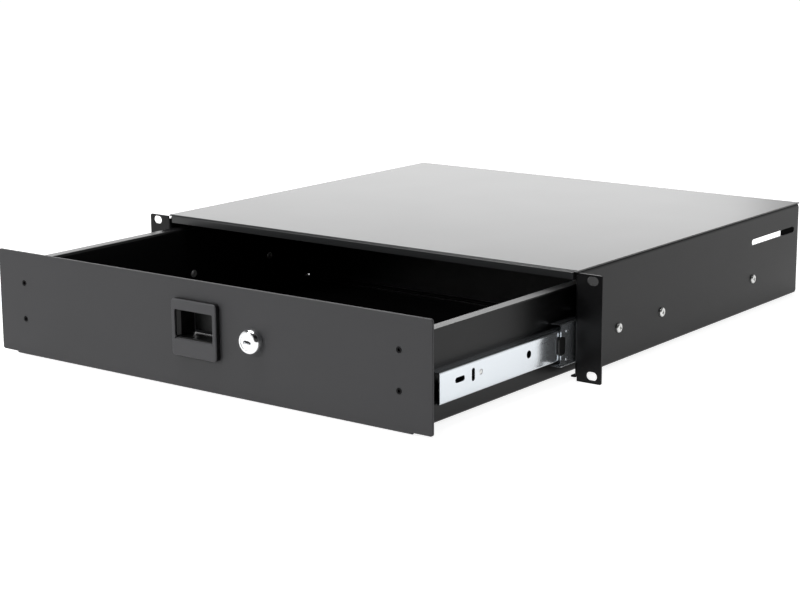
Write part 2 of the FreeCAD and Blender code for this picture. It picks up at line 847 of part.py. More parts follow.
def latch_bezel():
    """The latch moulding: a raised frame on the panel and an open-backed finger cup."""
    half = latch_width / 2.0
    frame = box(-half, half, latch_front, panel_front, latch_bottom, latch_top)
    frame = rounded(frame, latch_corner_radius, lambda e: runs_along(e, 1))
    frame = rounded(frame, latch_edge_radius, lambda e: abs(e.CenterOfMass.y - latch_front) < near)
    cup = box(-cup_outer_half, cup_outer_half, panel_front, cup_back, cup_bottom, cup_top)
    body = joined([frame, cup])
    hollow = box(-cup_inner_half, cup_inner_half, latch_front, cup_back,
                 window_bottom, window_top)
    mouth_deep = latch_front + window_flare
    mouth = prism([(-window_half, latch_front, window_bottom),
                   (window_half, latch_front, window_bottom),
                   (window_half, mouth_deep, window_bottom),
                   (cup_inner_half, mouth_deep + window_flare, window_bottom),
                   (-cup_inner_half, mouth_deep + window_flare, window_bottom),
                   (-window_half, mouth_deep, window_bottom)],
                  (0, 0, window_top - window_bottom))
    mouth = rounded(mouth, window_corner_radius, lambda e: (
        runs_along(e, 1) and e.CenterOfMass.y < mouth_deep))
    bevel = prism([(-window_half, latch_front, window_bottom - lip_bevel),
                   (-window_half, latch_front, window_bottom),
                   (-window_half, latch_front + lip_bevel, window_bottom)],
                  (2.0 * window_half, 0, 0))
    holes = [hollow, mouth, bevel]
    for sign in (-1, 1):
        start = (sign * latch_screw_x, panel_front, latch_bottom + latch_screw_rise)
        holes.append(rod(latch_screw_radius + hole_play, start, (0, -1, 0),
                         latch_screw_bite + hole_play))
    return without(body, holes)


def latch_screws():
    """The screws from behind, through the tray front and the panel, into the bezel."""
    length = tray_front_back - panel_front + latch_screw_bite
    screw = pan_screw(latch_screw_radius, length, latch_screw_head_radius,
                      latch_screw_head_height)
    place = (latch_screw_x, tray_front_back, latch_bottom + latch_screw_rise)
    return both_sides([aim(screw, place, (0, -1, 0))])


def latch_frame():
    """The bent frame behind the tray front: it carries the paddle pin and guides the bolt."""
    inner = cup_inner_half + paddle_play
    outer = inner + frame_sheet
    foot = outer + frame_foot_width
    bridge_front = bolt_back + bolt_play
    cheek_back = pin_y + hub_radius + frame_sheet
    pieces = [box(-outer, outer, bridge_front, bridge_front + frame_sheet, frame_bottom, bridge_top)]
    for sign in (-1, 1):
        cheek = sorted((sign * inner, sign * outer))
        base = sorted((sign * inner, sign * foot))
        pieces.append(box(cheek[0], cheek[1], bridge_front, cheek_back, frame_bottom,
                          frame_cheek_top))
        pieces.append(box(cheek[0], cheek[1], tray_front_back, bridge_front, frame_bottom,
                          frame_foot_top))
        pieces.append(box(base[0], base[1], tray_front_back, tray_front_back + frame_sheet,
                          frame_bottom, frame_foot_top))
    frame = joined(pieces)
    bore = rod(pin_radius + hole_play, (-foot, pin_y, pin_height), (1, 0, 0), 2.0 * foot)
    arm_half = paddle_arm_width / 2.0 + bolt_window_play
    arm_way = box(-arm_half, arm_half, bolt_back, cheek_back, frame_bottom + bridge_floor,
                  frame_foot_top)
    return without(frame, [bore, arm_way])


def paddle_pin():
    """The headed hinge pin of the paddle."""
    outer = cup_inner_half + paddle_play + frame_sheet
    shaft = rod(pin_radius, (-outer - hole_play, pin_y, pin_height), (1, 0, 0),
                2.0 * (outer + hole_play))
    ends = []
    for sign in (-1, 1):
        start = (sign * (outer + hole_play), pin_y, pin_height)
        ends.append(rod(pin_head_radius, start, (sign, 0, 0), pin_head_height))
    return joined([shaft] + ends)


def latch_paddle():
    """The push paddle: it closes the back of the cup, and its arm draws the bolt down."""
    half = cup_inner_half - paddle_play
    front = cup_back + paddle_play
    back = front + paddle_sheet
    plate = box(-half, half, front, back, paddle_bottom, pin_height)
    hub = rod(hub_radius, (-half, pin_y, pin_height), (1, 0, 0), 2.0 * half)
    arm_half = paddle_arm_width / 2.0
    tip = bolt_front + paddle_arm_tip_gap
    arm = box(-arm_half, arm_half, tip, pin_y, pin_height - paddle_arm_thickness / 2.0,
              pin_height + paddle_arm_thickness / 2.0)
    ribs = []
    for i in range(paddle_ribs):
        z = paddle_bottom + paddle_first_rib + paddle_rib_pitch * i
        ribs.append(box(-half, half, back, back + paddle_grip_height, z, z + paddle_grip_height))
    pad_back = pin_y + spring_mean_radius() - spring_wire_radius - spring_play
    pad_start = paddle_arm_width / 2.0
    pad_end = pad_start + paddle_pad_width
    pad = box(pad_start, pad_end, front, pad_back,
              pin_height - spring_leg_length - spring_play, pin_height)
    body = joined([plate, hub, arm, pad] + ribs)
    bore = rod(pin_radius + pin_play, (-half, pin_y, pin_height), (1, 0, 0), 2.0 * half)
    return without(body, [bore, spring_space()])


def spring_start():
    """Where the spring's coil begins along X."""
    return paddle_arm_width / 2.0 + spring_play + spring_wire_radius


def spring_mean_radius():
    """The coil's mean radius: it runs free of the pin."""
    return pin_radius + spring_play + spring_wire_radius


def spring_space():
    """The gap in the paddle's hub and plate that the coil sits in."""
    start = paddle_arm_width / 2.0
    length = spring_turns * spring_pitch + 2.0 * (spring_play + spring_wire_radius)
    reach = spring_mean_radius() + spring_wire_radius + spring_play
    return box(start, start + length, pin_y - reach, pin_y + reach + hub_radius,
               pin_height - reach, pin_height + reach)


def paddle_spring():
    """The torsion spring on the pin: one leg down the paddle, one on the tray front's edge."""
    radius = spring_mean_radius()
    helix = Part.makeHelix(spring_pitch, spring_pitch * spring_turns, radius)
    profile = Part.Wire(Part.makeCircle(spring_wire_radius, Vec(radius, 0, 0), Vec(0, 1, 0)))
    coil = Part.Wire(helix).makePipeShell([profile], True, True)
    low_leg = rod(spring_wire_radius, (radius, 0, 0), (0, -1, 0), spring_leg_length)
    end = spring_end()
    top_length = pin_y - (panel_back + tray_sheet / 2.0)
    top_leg = rod(spring_wire_radius, end, (-1, 0, 0), top_length)
    balls_at_ends = [Part.makeSphere(spring_wire_radius, Vec(radius, 0, 0)),
                     Part.makeSphere(spring_wire_radius, Vec(*end))]
    spring = joined([coil] + balls_at_ends + [low_leg, top_leg])
    # the coil's axis turns from Z to X: its own X becomes Y, and its own Y becomes Z
    turn = FreeCAD.Rotation(Vec(0, 1, 0), Vec(0, 0, 1), Vec(1, 0, 0), "ZXY")
    spring.Placement = FreeCAD.Placement(Vec(spring_start(), pin_y, pin_height), turn)
    return spring


def spring_end():
    """Where the coil ends, on its own axes: a quarter turn past its start."""
    angle = 2.0 * math.pi * spring_turns
    radius = spring_mean_radius()
    return (radius * math.cos(angle), radius * math.sin(angle), spring_pitch * spring_turns)


def latch_bolt():
    """The sprung bolt: its ramped top stands behind the header lip of the closed chassis."""
    half = bolt_width / 2.0
    side = [(bolt_front, bolt_bottom), (bolt_back, bolt_bottom),
            (bolt_back, bolt_top - bolt_ramp_drop), (bolt_front + bolt_ramp_land, bolt_top),
            (bolt_front, bolt_top)]
    body = prism([(-half, y, z) for y, z in side], (bolt_width, 0, 0))
    shoulder = box(-half - bolt_shoulder, half + bolt_shoulder, bolt_front, bolt_back,
                   bolt_bottom, bolt_shoulder_top)
    arm_half = paddle_arm_width / 2.0 + bolt_window_play
    rise = paddle_arm_thickness / 2.0 + bolt_window_play
    window = box(-arm_half, arm_half, bolt_front - bolt_play, bolt_back + bolt_play,
                 pin_height - rise, pin_height + rise)
    return without(joined([body, shoulder]), [window])


# ---- cam lock ----

def lock_body():
    """The chrome lock housing: a thick rim on the panel and a barrel through it."""
    front = panel_front - lock_proud
    rim = rod(lock_rim_radius, (lock_x, front, lock_z), (0, 1, 0), lock_proud)
    rim = rounded(rim, lock_rim_fillet, lambda e: abs(e.CenterOfMass.y - front) < near)
    barrel = rod(lock_body_radius, (lock_x, panel_front, lock_z), (0, 1, 0),
                 lock_body_back + panel_thickness)
    bore = rod(lock_plug_radius + lock_plug_play, (lock_x, front, lock_z), (0, 1, 0),
               lock_proud + panel_thickness + lock_body_back)
    return without(joined([rim, barrel]), [bore])


def lock_plug():
    """The turning plug with its keyway, and a square tail for the cam."""
    front = panel_front - lock_proud + plug_recess
    rear = panel_back + lock_body_back
    plug = rod(lock_plug_radius, (lock_x, front, lock_z), (0, 1, 0), rear - front)
    half = cam_square / 2.0
    tail = box(lock_x - half, lock_x + half, rear, rear + cam_gap + cam_sheet,
               lock_z - half, lock_z + half)
    keyway = box(lock_x - keyway_length / 2.0, lock_x + keyway_length / 2.0, front,
                 front + keyway_depth, lock_z - keyway_width / 2.0, lock_z + keyway_width / 2.0)
    tap = rod(cam_screw_radius + hole_play, (lock_x, rear, lock_z), (0, 1, 0),
              cam_gap + cam_sheet)
    return without(joined([plug, tail]), [keyway, tap])


def lock_cam():
    """The cranked cam: it lies sideways when unlocked and turns up behind the header."""
    hub_front = panel_back + lock_body_back + cam_gap
    hub_back = hub_front + cam_sheet
    tip_front = tray_front_back + cam_tip_gap
    half = cam_width / 2.0
    path = [(lock_x - half, hub_front + cam_sheet / 2.0),
            (lock_x + cam_hub_reach, hub_front + cam_sheet / 2.0),
            (lock_x + cam_hub_reach, tip_front + cam_sheet / 2.0),
            (lock_x + cam_reach, tip_front + cam_sheet / 2.0)]
    cam = folded_xy(path, cam_sheet, bend_radius, lock_z - half, lock_z + half)
    hole_half = cam_square / 2.0 + cam_square_play
    hole = box(lock_x - hole_half, lock_x + hole_half, hub_front, hub_back,
               lock_z - hole_half, lock_z + hole_half)
    return without(cam, [hole])


def cam_screw():
    """The screw that holds the cam on the plug's tail."""
    seat = panel_back + lock_body_back + cam_gap + cam_sheet
    screw = pan_screw(cam_screw_radius, cam_gap + cam_sheet, cam_screw_head_radius,
                      cam_screw_head_height)
    return aim(screw, (lock_x, seat, lock_z), (0, -1, 0))


def lock_washer():
    """The toothed washer under the lock's nut."""
    disc = Part.makeCylinder(lock_washer_radius, lock_washer_thickness)
    cuts = [Part.makeCylinder(lock_body_radius + cutout_play, lock_washer_thickness)]
    for i in range(washer_teeth):
        angle = 2.0 * math.pi * i / washer_teeth
        place = Vec(lock_washer_radius * math.cos(angle), lock_washer_radius * math.sin(angle), 0)
        cuts.append(Part.makeCylinder(lock_washer_thickness, lock_washer_thickness, place))
    return aim(without(disc, cuts), (lock_x, tray_front_back, lock_z), (0, 1, 0))


def lock_nut():
    """The flat nut that clamps the lock to the front."""
    nut = hexagon(lock_nut_width, lock_nut_height)
    bore = Part.makeCylinder(lock_body_radius + hole_play, lock_nut_height)
    place = (lock_x, tray_front_back + lock_washer_thickness, lock_z)
    return aim(without(nut, [bore]), place, (0, 1, 0))


def save(name, shape):
    """Write one node as a STEP file."""
    shape.exportStep(os.path.join("parts", name + ".step"))


os.makedirs("parts", exist_ok=True)

outer_gap_mid = (outer_web + mid_web_outer) / 2.0
inner_gap_mid = (mid_web_inner + inner_web_outer) / 2.0

paired = {
    "side_panel": side_panel(),
    "outer_rail": outer_rail(),
    "mid_rail": mid_rail(),
    "mid_rail_bumper": mid_rail_bumper(),
    "inner_rail": inner_rail(),
    "outer_cage": cage(outer_gap_mid, outer_ball_rise, outer_cage_front),
    "outer_balls": balls(outer_ball_rise, outer_cage_front),
    "inner_cage": cage(inner_gap_mid, inner_ball_rise, inner_cage_front),
    "inner_balls": balls(inner_ball_rise, inner_cage_front),
}
for name, shape in paired.items():
    save(name + "_right", shape)
    save(name + "_left", mirrored(shape))

single = {
    "top_cover": top_cover(),
    "rear_brace": rear_brace(),
    "brace_rivets": brace_rivets(),
    "slide_stops": slide_stops(),
    "outer_rail_screws": outer_rail_screws(),
    "inner_rail_screws": inner_rail_screws(),
    "rail_spacers": rail_spacers(),
    "tray_pan": tray_pan(),
    "tray_front": tray_front(),
    "tray_back": tray_back(),
    "front_panel": front_panel(),
    "panel_screws": panel_screws(),
    "panel_nuts": panel_nuts(),
    "latch_bezel": latch_bezel(),
    "latch_screws": latch_screws(),
    "latch_frame": latch_frame(),
    "paddle_pin": paddle_pin(),
    "latch_paddle": latch_paddle(),
    "paddle_spring": paddle_spring(),
    "latch_bolt": latch_bolt(),
    "lock_body": lock_body(),
    "lock_plug": lock_plug(),
    "lock_cam": lock_cam(),
    "cam_screw": cam_screw(),
    "lock_washer": lock_washer(),
    "lock_nut": lock_nut(),
}
for name, shape in single.items():
    save(name, shape)
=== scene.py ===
# %% [markdown]
# # A two-unit rack drawer on ball slides
# This lesson dresses a finished CAD model. The model is the fixed frame: every
# piece below is placed from its boxes, rides on one of its bodies, and never moves
# a CAD part. The work goes from the sheet metal to the slides, the fasteners, the
# latch and the lock, and ends with the light and the camera. Blender works in
# metres. A number that MM multiplies is in millimetres, and so is the profile of a
# turned form.

# %% Load the frame
import json
import math

import bmesh
import bpy
from mathutils import Matrix, Vector

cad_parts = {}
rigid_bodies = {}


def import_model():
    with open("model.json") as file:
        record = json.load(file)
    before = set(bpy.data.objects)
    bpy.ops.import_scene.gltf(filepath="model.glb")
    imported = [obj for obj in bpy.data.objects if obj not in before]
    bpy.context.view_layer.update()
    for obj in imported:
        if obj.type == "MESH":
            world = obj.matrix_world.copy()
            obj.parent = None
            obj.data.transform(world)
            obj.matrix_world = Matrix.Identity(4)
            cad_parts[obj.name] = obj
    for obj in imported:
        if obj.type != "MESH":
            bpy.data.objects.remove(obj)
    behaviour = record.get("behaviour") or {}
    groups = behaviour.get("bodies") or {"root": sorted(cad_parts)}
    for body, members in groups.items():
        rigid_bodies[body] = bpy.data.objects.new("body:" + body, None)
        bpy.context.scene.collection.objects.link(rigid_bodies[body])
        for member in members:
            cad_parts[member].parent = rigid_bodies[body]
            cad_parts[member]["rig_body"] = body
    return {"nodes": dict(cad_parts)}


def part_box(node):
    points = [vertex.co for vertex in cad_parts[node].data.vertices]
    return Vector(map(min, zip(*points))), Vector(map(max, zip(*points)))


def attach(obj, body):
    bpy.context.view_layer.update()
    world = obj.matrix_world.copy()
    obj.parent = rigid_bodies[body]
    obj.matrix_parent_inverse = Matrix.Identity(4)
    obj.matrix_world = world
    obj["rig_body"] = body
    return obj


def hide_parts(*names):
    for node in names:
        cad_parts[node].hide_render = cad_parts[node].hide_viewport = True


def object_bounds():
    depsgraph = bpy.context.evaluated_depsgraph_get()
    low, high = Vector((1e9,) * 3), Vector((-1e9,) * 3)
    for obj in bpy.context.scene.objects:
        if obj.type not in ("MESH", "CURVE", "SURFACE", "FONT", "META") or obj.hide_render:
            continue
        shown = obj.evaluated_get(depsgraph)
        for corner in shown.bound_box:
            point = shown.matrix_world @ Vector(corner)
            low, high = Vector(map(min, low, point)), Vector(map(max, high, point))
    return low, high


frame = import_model()
cad_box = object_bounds()
nodes = frame["nodes"]
MM = 0.001
print("CAD box:", [round(v, 4) for corner in cad_box for v in corner])

# %% [markdown]
# Blender's node trees are graphs of small nodes. One helper adds a node, sets its
# options and fills its sockets: a value is written, and another node's output is
# linked. Shader trees and Geometry Nodes trees both use it.

# %% One helper for every node


def add_node(tree, kind, sockets=None, **settings):
    """Adds a node, sets its options, and fills its sockets with values or links."""
    node = tree.nodes.new(kind)
    for key, value in settings.items():
        setattr(node, key, value)
    for key, value in (sockets or {}).items():
        if isinstance(value, bpy.types.NodeSocket):
            tree.links.new(value, node.inputs[key])
        else:
            node.inputs[key].default_value = value
    return node


print("add_node fills sockets by name or by number")

# %% [markdown]
# A colour is written as the hex value of a paint chart and turned to linear light,
# because shaders reckon in that. Every finish starts alike: one Principled shader
# with its even values on its own sockets, and the piece's own Object coordinates, so
# that a pattern stays on the metal when the piece moves.

# %% Colours and the start of a finish


def linear(code):
    """An sRGB hex colour as the linear RGBA that shaders work in."""
    channels = [int(code[i:i + 2], 16) / 255 for i in (1, 3, 5)]
    return [c / 12.92 if c <= 0.04045 else ((c + 0.055) / 1.055) ** 2.4
            for c in channels] + [1.0]


def start_finish(name, code, **sockets):
    """A material with a Principled shader; constants sit on its own sockets."""
    material = bpy.data.materials.new(name)
    material.use_nodes = True
    tree = material.node_tree
    shader = tree.nodes["Principled BSDF"]
    shader.inputs["Base Color"].default_value = linear(code)
    for key, value in sockets.items():
        shader.inputs[key.replace("_", " ")].default_value = value
    place = add_node(tree, "ShaderNodeTexCoord").outputs["Object"]
    return material, tree, shader, place


print("mid grey in linear light:", round(linear("#808080")[0], 3))

# %% [markdown]
# No real surface is even all over. Three patterns stand for most of that: a drift
# between two close shades, a roughness that wanders, and a fine relief. An image
# would repeat and blur close up, so all three are noise, with a size in millimetres.

# %% Three surface patterns


def blotch(tree, shader, place, size_mm, codes):
    """Base colour that drifts between two close shades, in cells of a real size."""
    noise = add_node(tree, "ShaderNodeTexNoise", {
        "Vector": place, "Scale": 1 / (size_mm * MM), "Detail": 2.0})
    ramp = add_node(tree, "ShaderNodeMix", {
        0: noise.outputs["Fac"], 6: linear(codes[0]), 7: linear(codes[1])},
        data_type="RGBA")
    tree.links.new(ramp.outputs[2], shader.inputs["Base Color"])


def roughness_drift(tree, shader, place, size_mm, low, high, stretch=(1, 1, 1)):
    """Roughness that wanders between two values, as handling and forming leave it."""
    turned = add_node(tree, "ShaderNodeMapping", {"Vector": place, "Scale": stretch})
    noise = add_node(tree, "ShaderNodeTexNoise", {
        "Vector": turned.outputs[0], "Scale": 1 / (size_mm * MM), "Detail": 3.0})
    span = add_node(tree, "ShaderNodeMapRange", {
        "Value": noise.outputs["Fac"], "From Min": 0.3, "From Max": 0.7,
        "To Min": low, "To Max": high})
    tree.links.new(span.outputs[0], shader.inputs["Roughness"])


def relief(tree, shader, place, size_mm, depth_mm, strength, stretch=(1, 1, 1)):
    """A fine bump with cells of a real size and a real depth."""
    turned = add_node(tree, "ShaderNodeMapping", {"Vector": place, "Scale": stretch})
    noise = add_node(tree, "ShaderNodeTexNoise", {
        "Vector": turned.outputs[0], "Scale": 1 / (size_mm * MM), "Detail": 2.0})
    bump = add_node(tree, "ShaderNodeBump", {
        "Height": noise.outputs["Fac"], "Distance": depth_mm * MM, "Strength": strength})
    tree.links.new(bump.outputs[0], shader.inputs["Normal"])


print("patterns: blotch, roughness_drift, relief")

# %% [markdown]
# ## Finishes
# The folded sheets carry polyester powder coat. It is sprayed dry and melted, so it
# flows into a skin with a faint orange peel: cells of about a millimetre and a few
# hundredths deep. The eye reads that as a satin black whose reflections are soft.
# The front panel has a duller, greyer charcoal coat. The cover's skin is the
# smoothest, with a peel of about two millimetres, and mirrors the most.

# %% Powder coats
powder_coat, tree, shader, place = start_finish("satin_black_powder_coat", "#101011",
                                                Roughness=0.32, IOR=1.45,
                                                Specular_IOR_Level=0.22)
blotch(tree, shader, place, 60, ("#0f0f10", "#121213"))
roughness_drift(tree, shader, place, 45, 0.31, 0.33)
relief(tree, shader, place, 1.1, 0.03, 0.25)

panel_coat, tree, shader, place = start_finish("charcoal_powder_coat", "#3d3d3e",
                                               Roughness=0.5, IOR=1.5,
                                               Specular_IOR_Level=0.3)
blotch(tree, shader, place, 70, ("#3c3c3d", "#3e3e40"))
roughness_drift(tree, shader, place, 50, 0.48, 0.52)
relief(tree, shader, place, 0.9, 0.03, 0.3)

cover_coat, tree, shader, place = start_finish("smooth_black_powder_coat", "#202122",
                                               Roughness=0.3, IOR=1.5)
blotch(tree, shader, place, 80, ("#1f2021", "#222324"))
roughness_drift(tree, shader, place, 60, 0.298, 0.304)
relief(tree, shader, place, 2.2, 0.02, 0.05)
print("coats:", powder_coat.name, panel_coat.name, cover_coat.name)

# %% [markdown]
# The slides are rolled from steel strip and zinc plated. Rolling leaves fine lines
# along the strip, so its roughness is a noise stretched fifty times along Y. Real
# lines are far below a millimetre; here they are two millimetres wide, so that they
# show at all. The screws are plated in a barrel, which leaves them duller and even.
# Zinc wears a clear passivate, a veil over the metal: Metallic 0.85.

# %% Zinc plated strip and screws
zinc_strip, tree, shader, place = start_finish("zinc_plated_rolled_strip", "#d6d9dc",
                                               Metallic=0.85, Roughness=0.14)
blotch(tree, shader, place, 40, ("#d6dce2", "#dfe4e8"))
roughness_drift(tree, shader, place, 2.0, 0.12, 0.17, stretch=(1, 0.02, 1))
relief(tree, shader, place, 0.8, 0.002, 0.05, stretch=(1, 0.02, 1))

zinc_plate, tree, shader, place = start_finish("barrel_zinc_plate", "#e0e1e0",
                                               Metallic=0.85, Roughness=0.3)
blotch(tree, shader, place, 5, ("#dcdddc", "#e6e6e4"))
roughness_drift(tree, shader, place, 3, 0.26, 0.36)

print("zinc:", zinc_strip.name, zinc_plate.name)

# %% [markdown]
# Four more metals. The black fasteners are blackened in hot oxide, which leaves a
# dull, porous black. The balls are ground and polished steel. Drawn spring wire keeps
# the haze of its die, and the lock is plated with bright chrome, nearly a mirror.

# %% Oxide, balls, wire and chrome
black_oxide, tree, shader, place = start_finish("black_oxide_steel", "#0a0a0b",
                                                Roughness=0.6, Specular_IOR_Level=0.15)
blotch(tree, shader, place, 3, ("#080809", "#0c0c0d"))

ball_steel, tree, shader, place = start_finish("polished_bearing_steel", "#d4d6d8",
                                               Metallic=1.0, Roughness=0.08)
roughness_drift(tree, shader, place, 2, 0.06, 0.11)

spring_wire, tree, shader, place = start_finish("drawn_spring_wire", "#a8a9ab",
                                                Metallic=1.0, Roughness=0.3)
roughness_drift(tree, shader, place, 1, 0.25, 0.38)

chrome, tree, shader, place = start_finish("bright_chrome_plate", "#e6e7e8",
                                           Metallic=1.0, Roughness=0.07)
roughness_drift(tree, shader, place, 6, 0.05, 0.1)
print("metals:", black_oxide.name, ball_steel.name, spring_wire.name, chrome.name)

# %% [markdown]
# The latch is moulded ABS with the spark-eroded grain of its tool. Real grain is a
# tenth or two of a millimetre; it is drawn at half a millimetre, so that it shows.
# The bezel is one solid. Its base colour is grey on the face and turns black with
# depth, from nine to thirteen tenths of a millimetre behind the face, so the cup
# behind it is black. Why the real cup looks so dark isn't known.

# %% The bezel's plastic, black with depth
latch_abs, tree, shader, place = start_finish("grained_abs_grey", "#464648",
                                              Roughness=0.4, IOR=1.53,
                                              Specular_IOR_Level=0.25)
blotch(tree, shader, place, 12, ("#454547", "#4a4a4c"))
relief(tree, shader, place, 0.5, 0.03, 0.3)
bezel_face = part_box("latch_bezel")[0].y
grey_ends, black_starts = 0.9, 1.3
# The base colour turns black with depth behind the face, into the finger cup.
depth = add_node(tree, "ShaderNodeSeparateXYZ", {0: place})
depth_share = add_node(tree, "ShaderNodeMapRange", {
    "Value": depth.outputs["Y"], "From Min": bezel_face + grey_ends * MM,
    "From Max": bezel_face + black_starts * MM})
black_with_depth = add_node(tree, "ShaderNodeMix", {
    0: depth_share.outputs[0], 6: shader.inputs["Base Color"].links[0].from_socket,
    7: linear("#0b0b0b")}, data_type="RGBA")
tree.links.new(black_with_depth.outputs[2], shader.inputs["Base Color"])
print("bezel face at y", round(bezel_face, 4), "turns black", black_starts, "mm behind it")

# %% [markdown]
# The paddle is the same grained ABS in black. The bolt, the stops and the bumpers
# are nylon, which is smoother and a little waxy: its grain is flatter and wider.

# %% Black ABS and nylon
paddle_abs, tree, shader, place = start_finish("grained_abs_black", "#101111",
                                               Roughness=0.4, IOR=1.53,
                                               Specular_IOR_Level=0.3)
blotch(tree, shader, place, 9, ("#0f1010", "#131414"))
relief(tree, shader, place, 0.5, 0.03, 0.3)

nylon, tree, shader, place = start_finish("moulded_black_nylon", "#161616",
                                          Roughness=0.35, IOR=1.53)
blotch(tree, shader, place, 8, ("#141414", "#1a1a1a"))
relief(tree, shader, place, 0.9, 0.03, 0.2)
print("plastics:", paddle_abs.name, nylon.name)

# %% [markdown]
# ## Handing a piece over
# Every finished piece is handed over in the same way. Its modifiers are settled
# into a plain mesh, it gets its finish, it is hung on the body that carries it,
# and the CAD nodes it stands for are hidden. A joint then moves the body, and the
# piece goes along.

# %% Hand a piece to the frame


def keep_plain(piece, material, body, slot, *stood_for):
    """Puts the finish on a piece, hangs it on its body, and hides the CAD nodes it stands for."""
    piece.data.materials.clear()
    piece.data.materials.append(material)
    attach(piece, body)
    if stood_for:
        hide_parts(*stood_for)
    return piece


def settle(piece):
    """Turns a piece with modifiers into a plain mesh and drops the modifiers."""
    graph = bpy.context.evaluated_depsgraph_get()
    mesh = bpy.data.meshes.new_from_object(piece.evaluated_get(graph))
    piece.modifiers.clear()
    piece.data = mesh
    return piece


def new_piece(name, mesh):
    """A piece at the origin, unturned, with its place in its mesh."""
    piece = bpy.data.objects.new(name, mesh)
    bpy.context.scene.collection.objects.link(piece)
    return piece


# %% [markdown]
# ## Sheet metal
# A sheared and coated sheet has no knife edge: the coat rounds it by some tenths of
# a millimetre, and that round is what catches the light. The CAD solids have sharp
# edges. Modelling each sheet anew would risk moving a hole, so each one is copied
# instead: its loose triangles are welded, its flats are made single faces, and a
# narrow bevel with two steps rounds every edge that turns by more than 32 degrees.

# %% Weld and round a copy of a CAD node
edge_steps, edge_turn = 2, 32


def smooth_by_angle(mesh, degrees=35):
    """Smooth faces, with a sharp line wherever the surface turns by more than that."""
    mesh.shade_smooth()
    mesh.set_sharp_from_angle(angle=math.radians(degrees))


def welded(node):
    """A clean copy of a CAD node's mesh: welded, with its flats made single faces."""
    shape = bmesh.new()
    shape.from_mesh(nodes[node].data)
    bmesh.ops.remove_doubles(shape, verts=shape.verts, dist=1e-6)
    bmesh.ops.dissolve_limit(shape, angle_limit=math.radians(0.3), verts=shape.verts,
                             edges=shape.edges)
    mesh = bpy.data.meshes.new(node + "_sheet")
    shape.to_mesh(mesh)
    shape.free()
    if "custom_normal" in mesh.attributes:
        mesh.attributes.remove(mesh.attributes["custom_normal"])
    return mesh


def rounded_copy(node, name, width_mm, material, slot):
    """A CAD node's copy with rounded edges, which then stands for the node."""
    piece = new_piece(name, welded(node))
    smooth_by_angle(piece.data)
    bevel = piece.modifiers.new("edge", "BEVEL")
    bevel.width = width_mm * MM
    bevel.segments = edge_steps
    bevel.limit_method = "ANGLE"
    bevel.angle_limit = math.radians(edge_turn)
    bevel.use_clamp_overlap = True
    bevel.harden_normals = True
    settle(piece)
    return keep_plain(piece, material, nodes[node]["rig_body"], slot, node)


print("edges over", edge_turn, "degrees are rounded in", edge_steps, "steps")

# %% [markdown]
# Eight sheets: two sides, the cover, the rear angle, the front panel, and the tray
# with its two end walls. The sheets that show most get three tenths of a
# millimetre, and the tray and the rear angle a quarter.

# %% Round the sheets
sheets = (
    ("side_panel_right", "folded_side_right", 0.3, powder_coat, "powder_coat"),
    ("side_panel_left", "folded_side_left", 0.3, powder_coat, "powder_coat"),
    ("top_cover", "flat_cover", 0.3, cover_coat, "cover_coat"),
    ("rear_brace", "rear_angle", 0.25, powder_coat, "powder_coat"),
    ("front_panel", "panel_plate", 0.3, panel_coat, "panel_coat"),
    ("tray_pan", "tray_shell", 0.25, powder_coat, "powder_coat"),
    ("tray_front", "tray_front_wall", 0.25, powder_coat, "powder_coat"),
    ("tray_back", "tray_rear_wall", 0.25, powder_coat, "powder_coat"),
)
for node, name, width, material, slot in sheets:
    piece = rounded_copy(node, name, width, material, slot)
    print(name, len(piece.data.polygons), "faces")

# %% [markdown]
# ## Rolled rails
# A slide rail starts as a strip of steel, and rolls bend it into a C along its whole
# length. It could be swept along a curve, but one tree with named sizes makes all
# six rails and the four ball cages, which are thin strips bent alike. A tree's
# inputs are set by their identifiers before the piece is first evaluated. The tree
# ends in real geometry, and its result is kept as a plain mesh.

# %% Start, end and run a Geometry Nodes tree


def start_tree(name, kinds):
    """A Geometry Nodes tree with named inputs, and the node that hands them out."""
    tree = bpy.data.node_groups.new(name, "GeometryNodeTree")
    tree.interface.new_socket("Geometry", in_out="INPUT", socket_type="NodeSocketGeometry")
    for label, kind in kinds.items():
        tree.interface.new_socket(label, in_out="INPUT", socket_type="NodeSocket" + kind)
    tree.interface.new_socket("Geometry", in_out="OUTPUT", socket_type="NodeSocketGeometry")
    return tree, add_node(tree, "NodeGroupInput").outputs


def end_tree(tree, given, geometry):
    """Every tree ends alike: real geometry in place of instances, with its finish on."""
    real = add_node(tree, "GeometryNodeRealizeInstances", {0: geometry})
    done = add_node(tree, "GeometryNodeSetMaterial", {
        0: real.outputs[0], "Material": given["Finish"]})
    add_node(tree, "NodeGroupOutput", {0: done.outputs[0]})


def run_tree(tree, name, start_mesh, values):
    """Runs a tree on a start mesh, with its inputs set first, and keeps the plain mesh."""
    piece = bpy.data.objects.new(name, start_mesh)
    maker = piece.modifiers.new("make", "NODES")
    maker.node_group = tree
    for item in tree.interface.items_tree:
        if item.in_out == "INPUT" and item.name in values:
            maker[item.identifier] = values[item.name]
    bpy.context.scene.collection.objects.link(piece)
    return settle(piece)


print("tree helpers: start_tree, end_tree, run_tree")

# %% [markdown]
# The first half of the tree bends and runs out the strip. It starts from a line of
# four points across the section. Both inner points get a fillet, and the bent line
# is pushed along Y to the rail's length. That gives a skin without thickness, in
# the middle of the sheet.

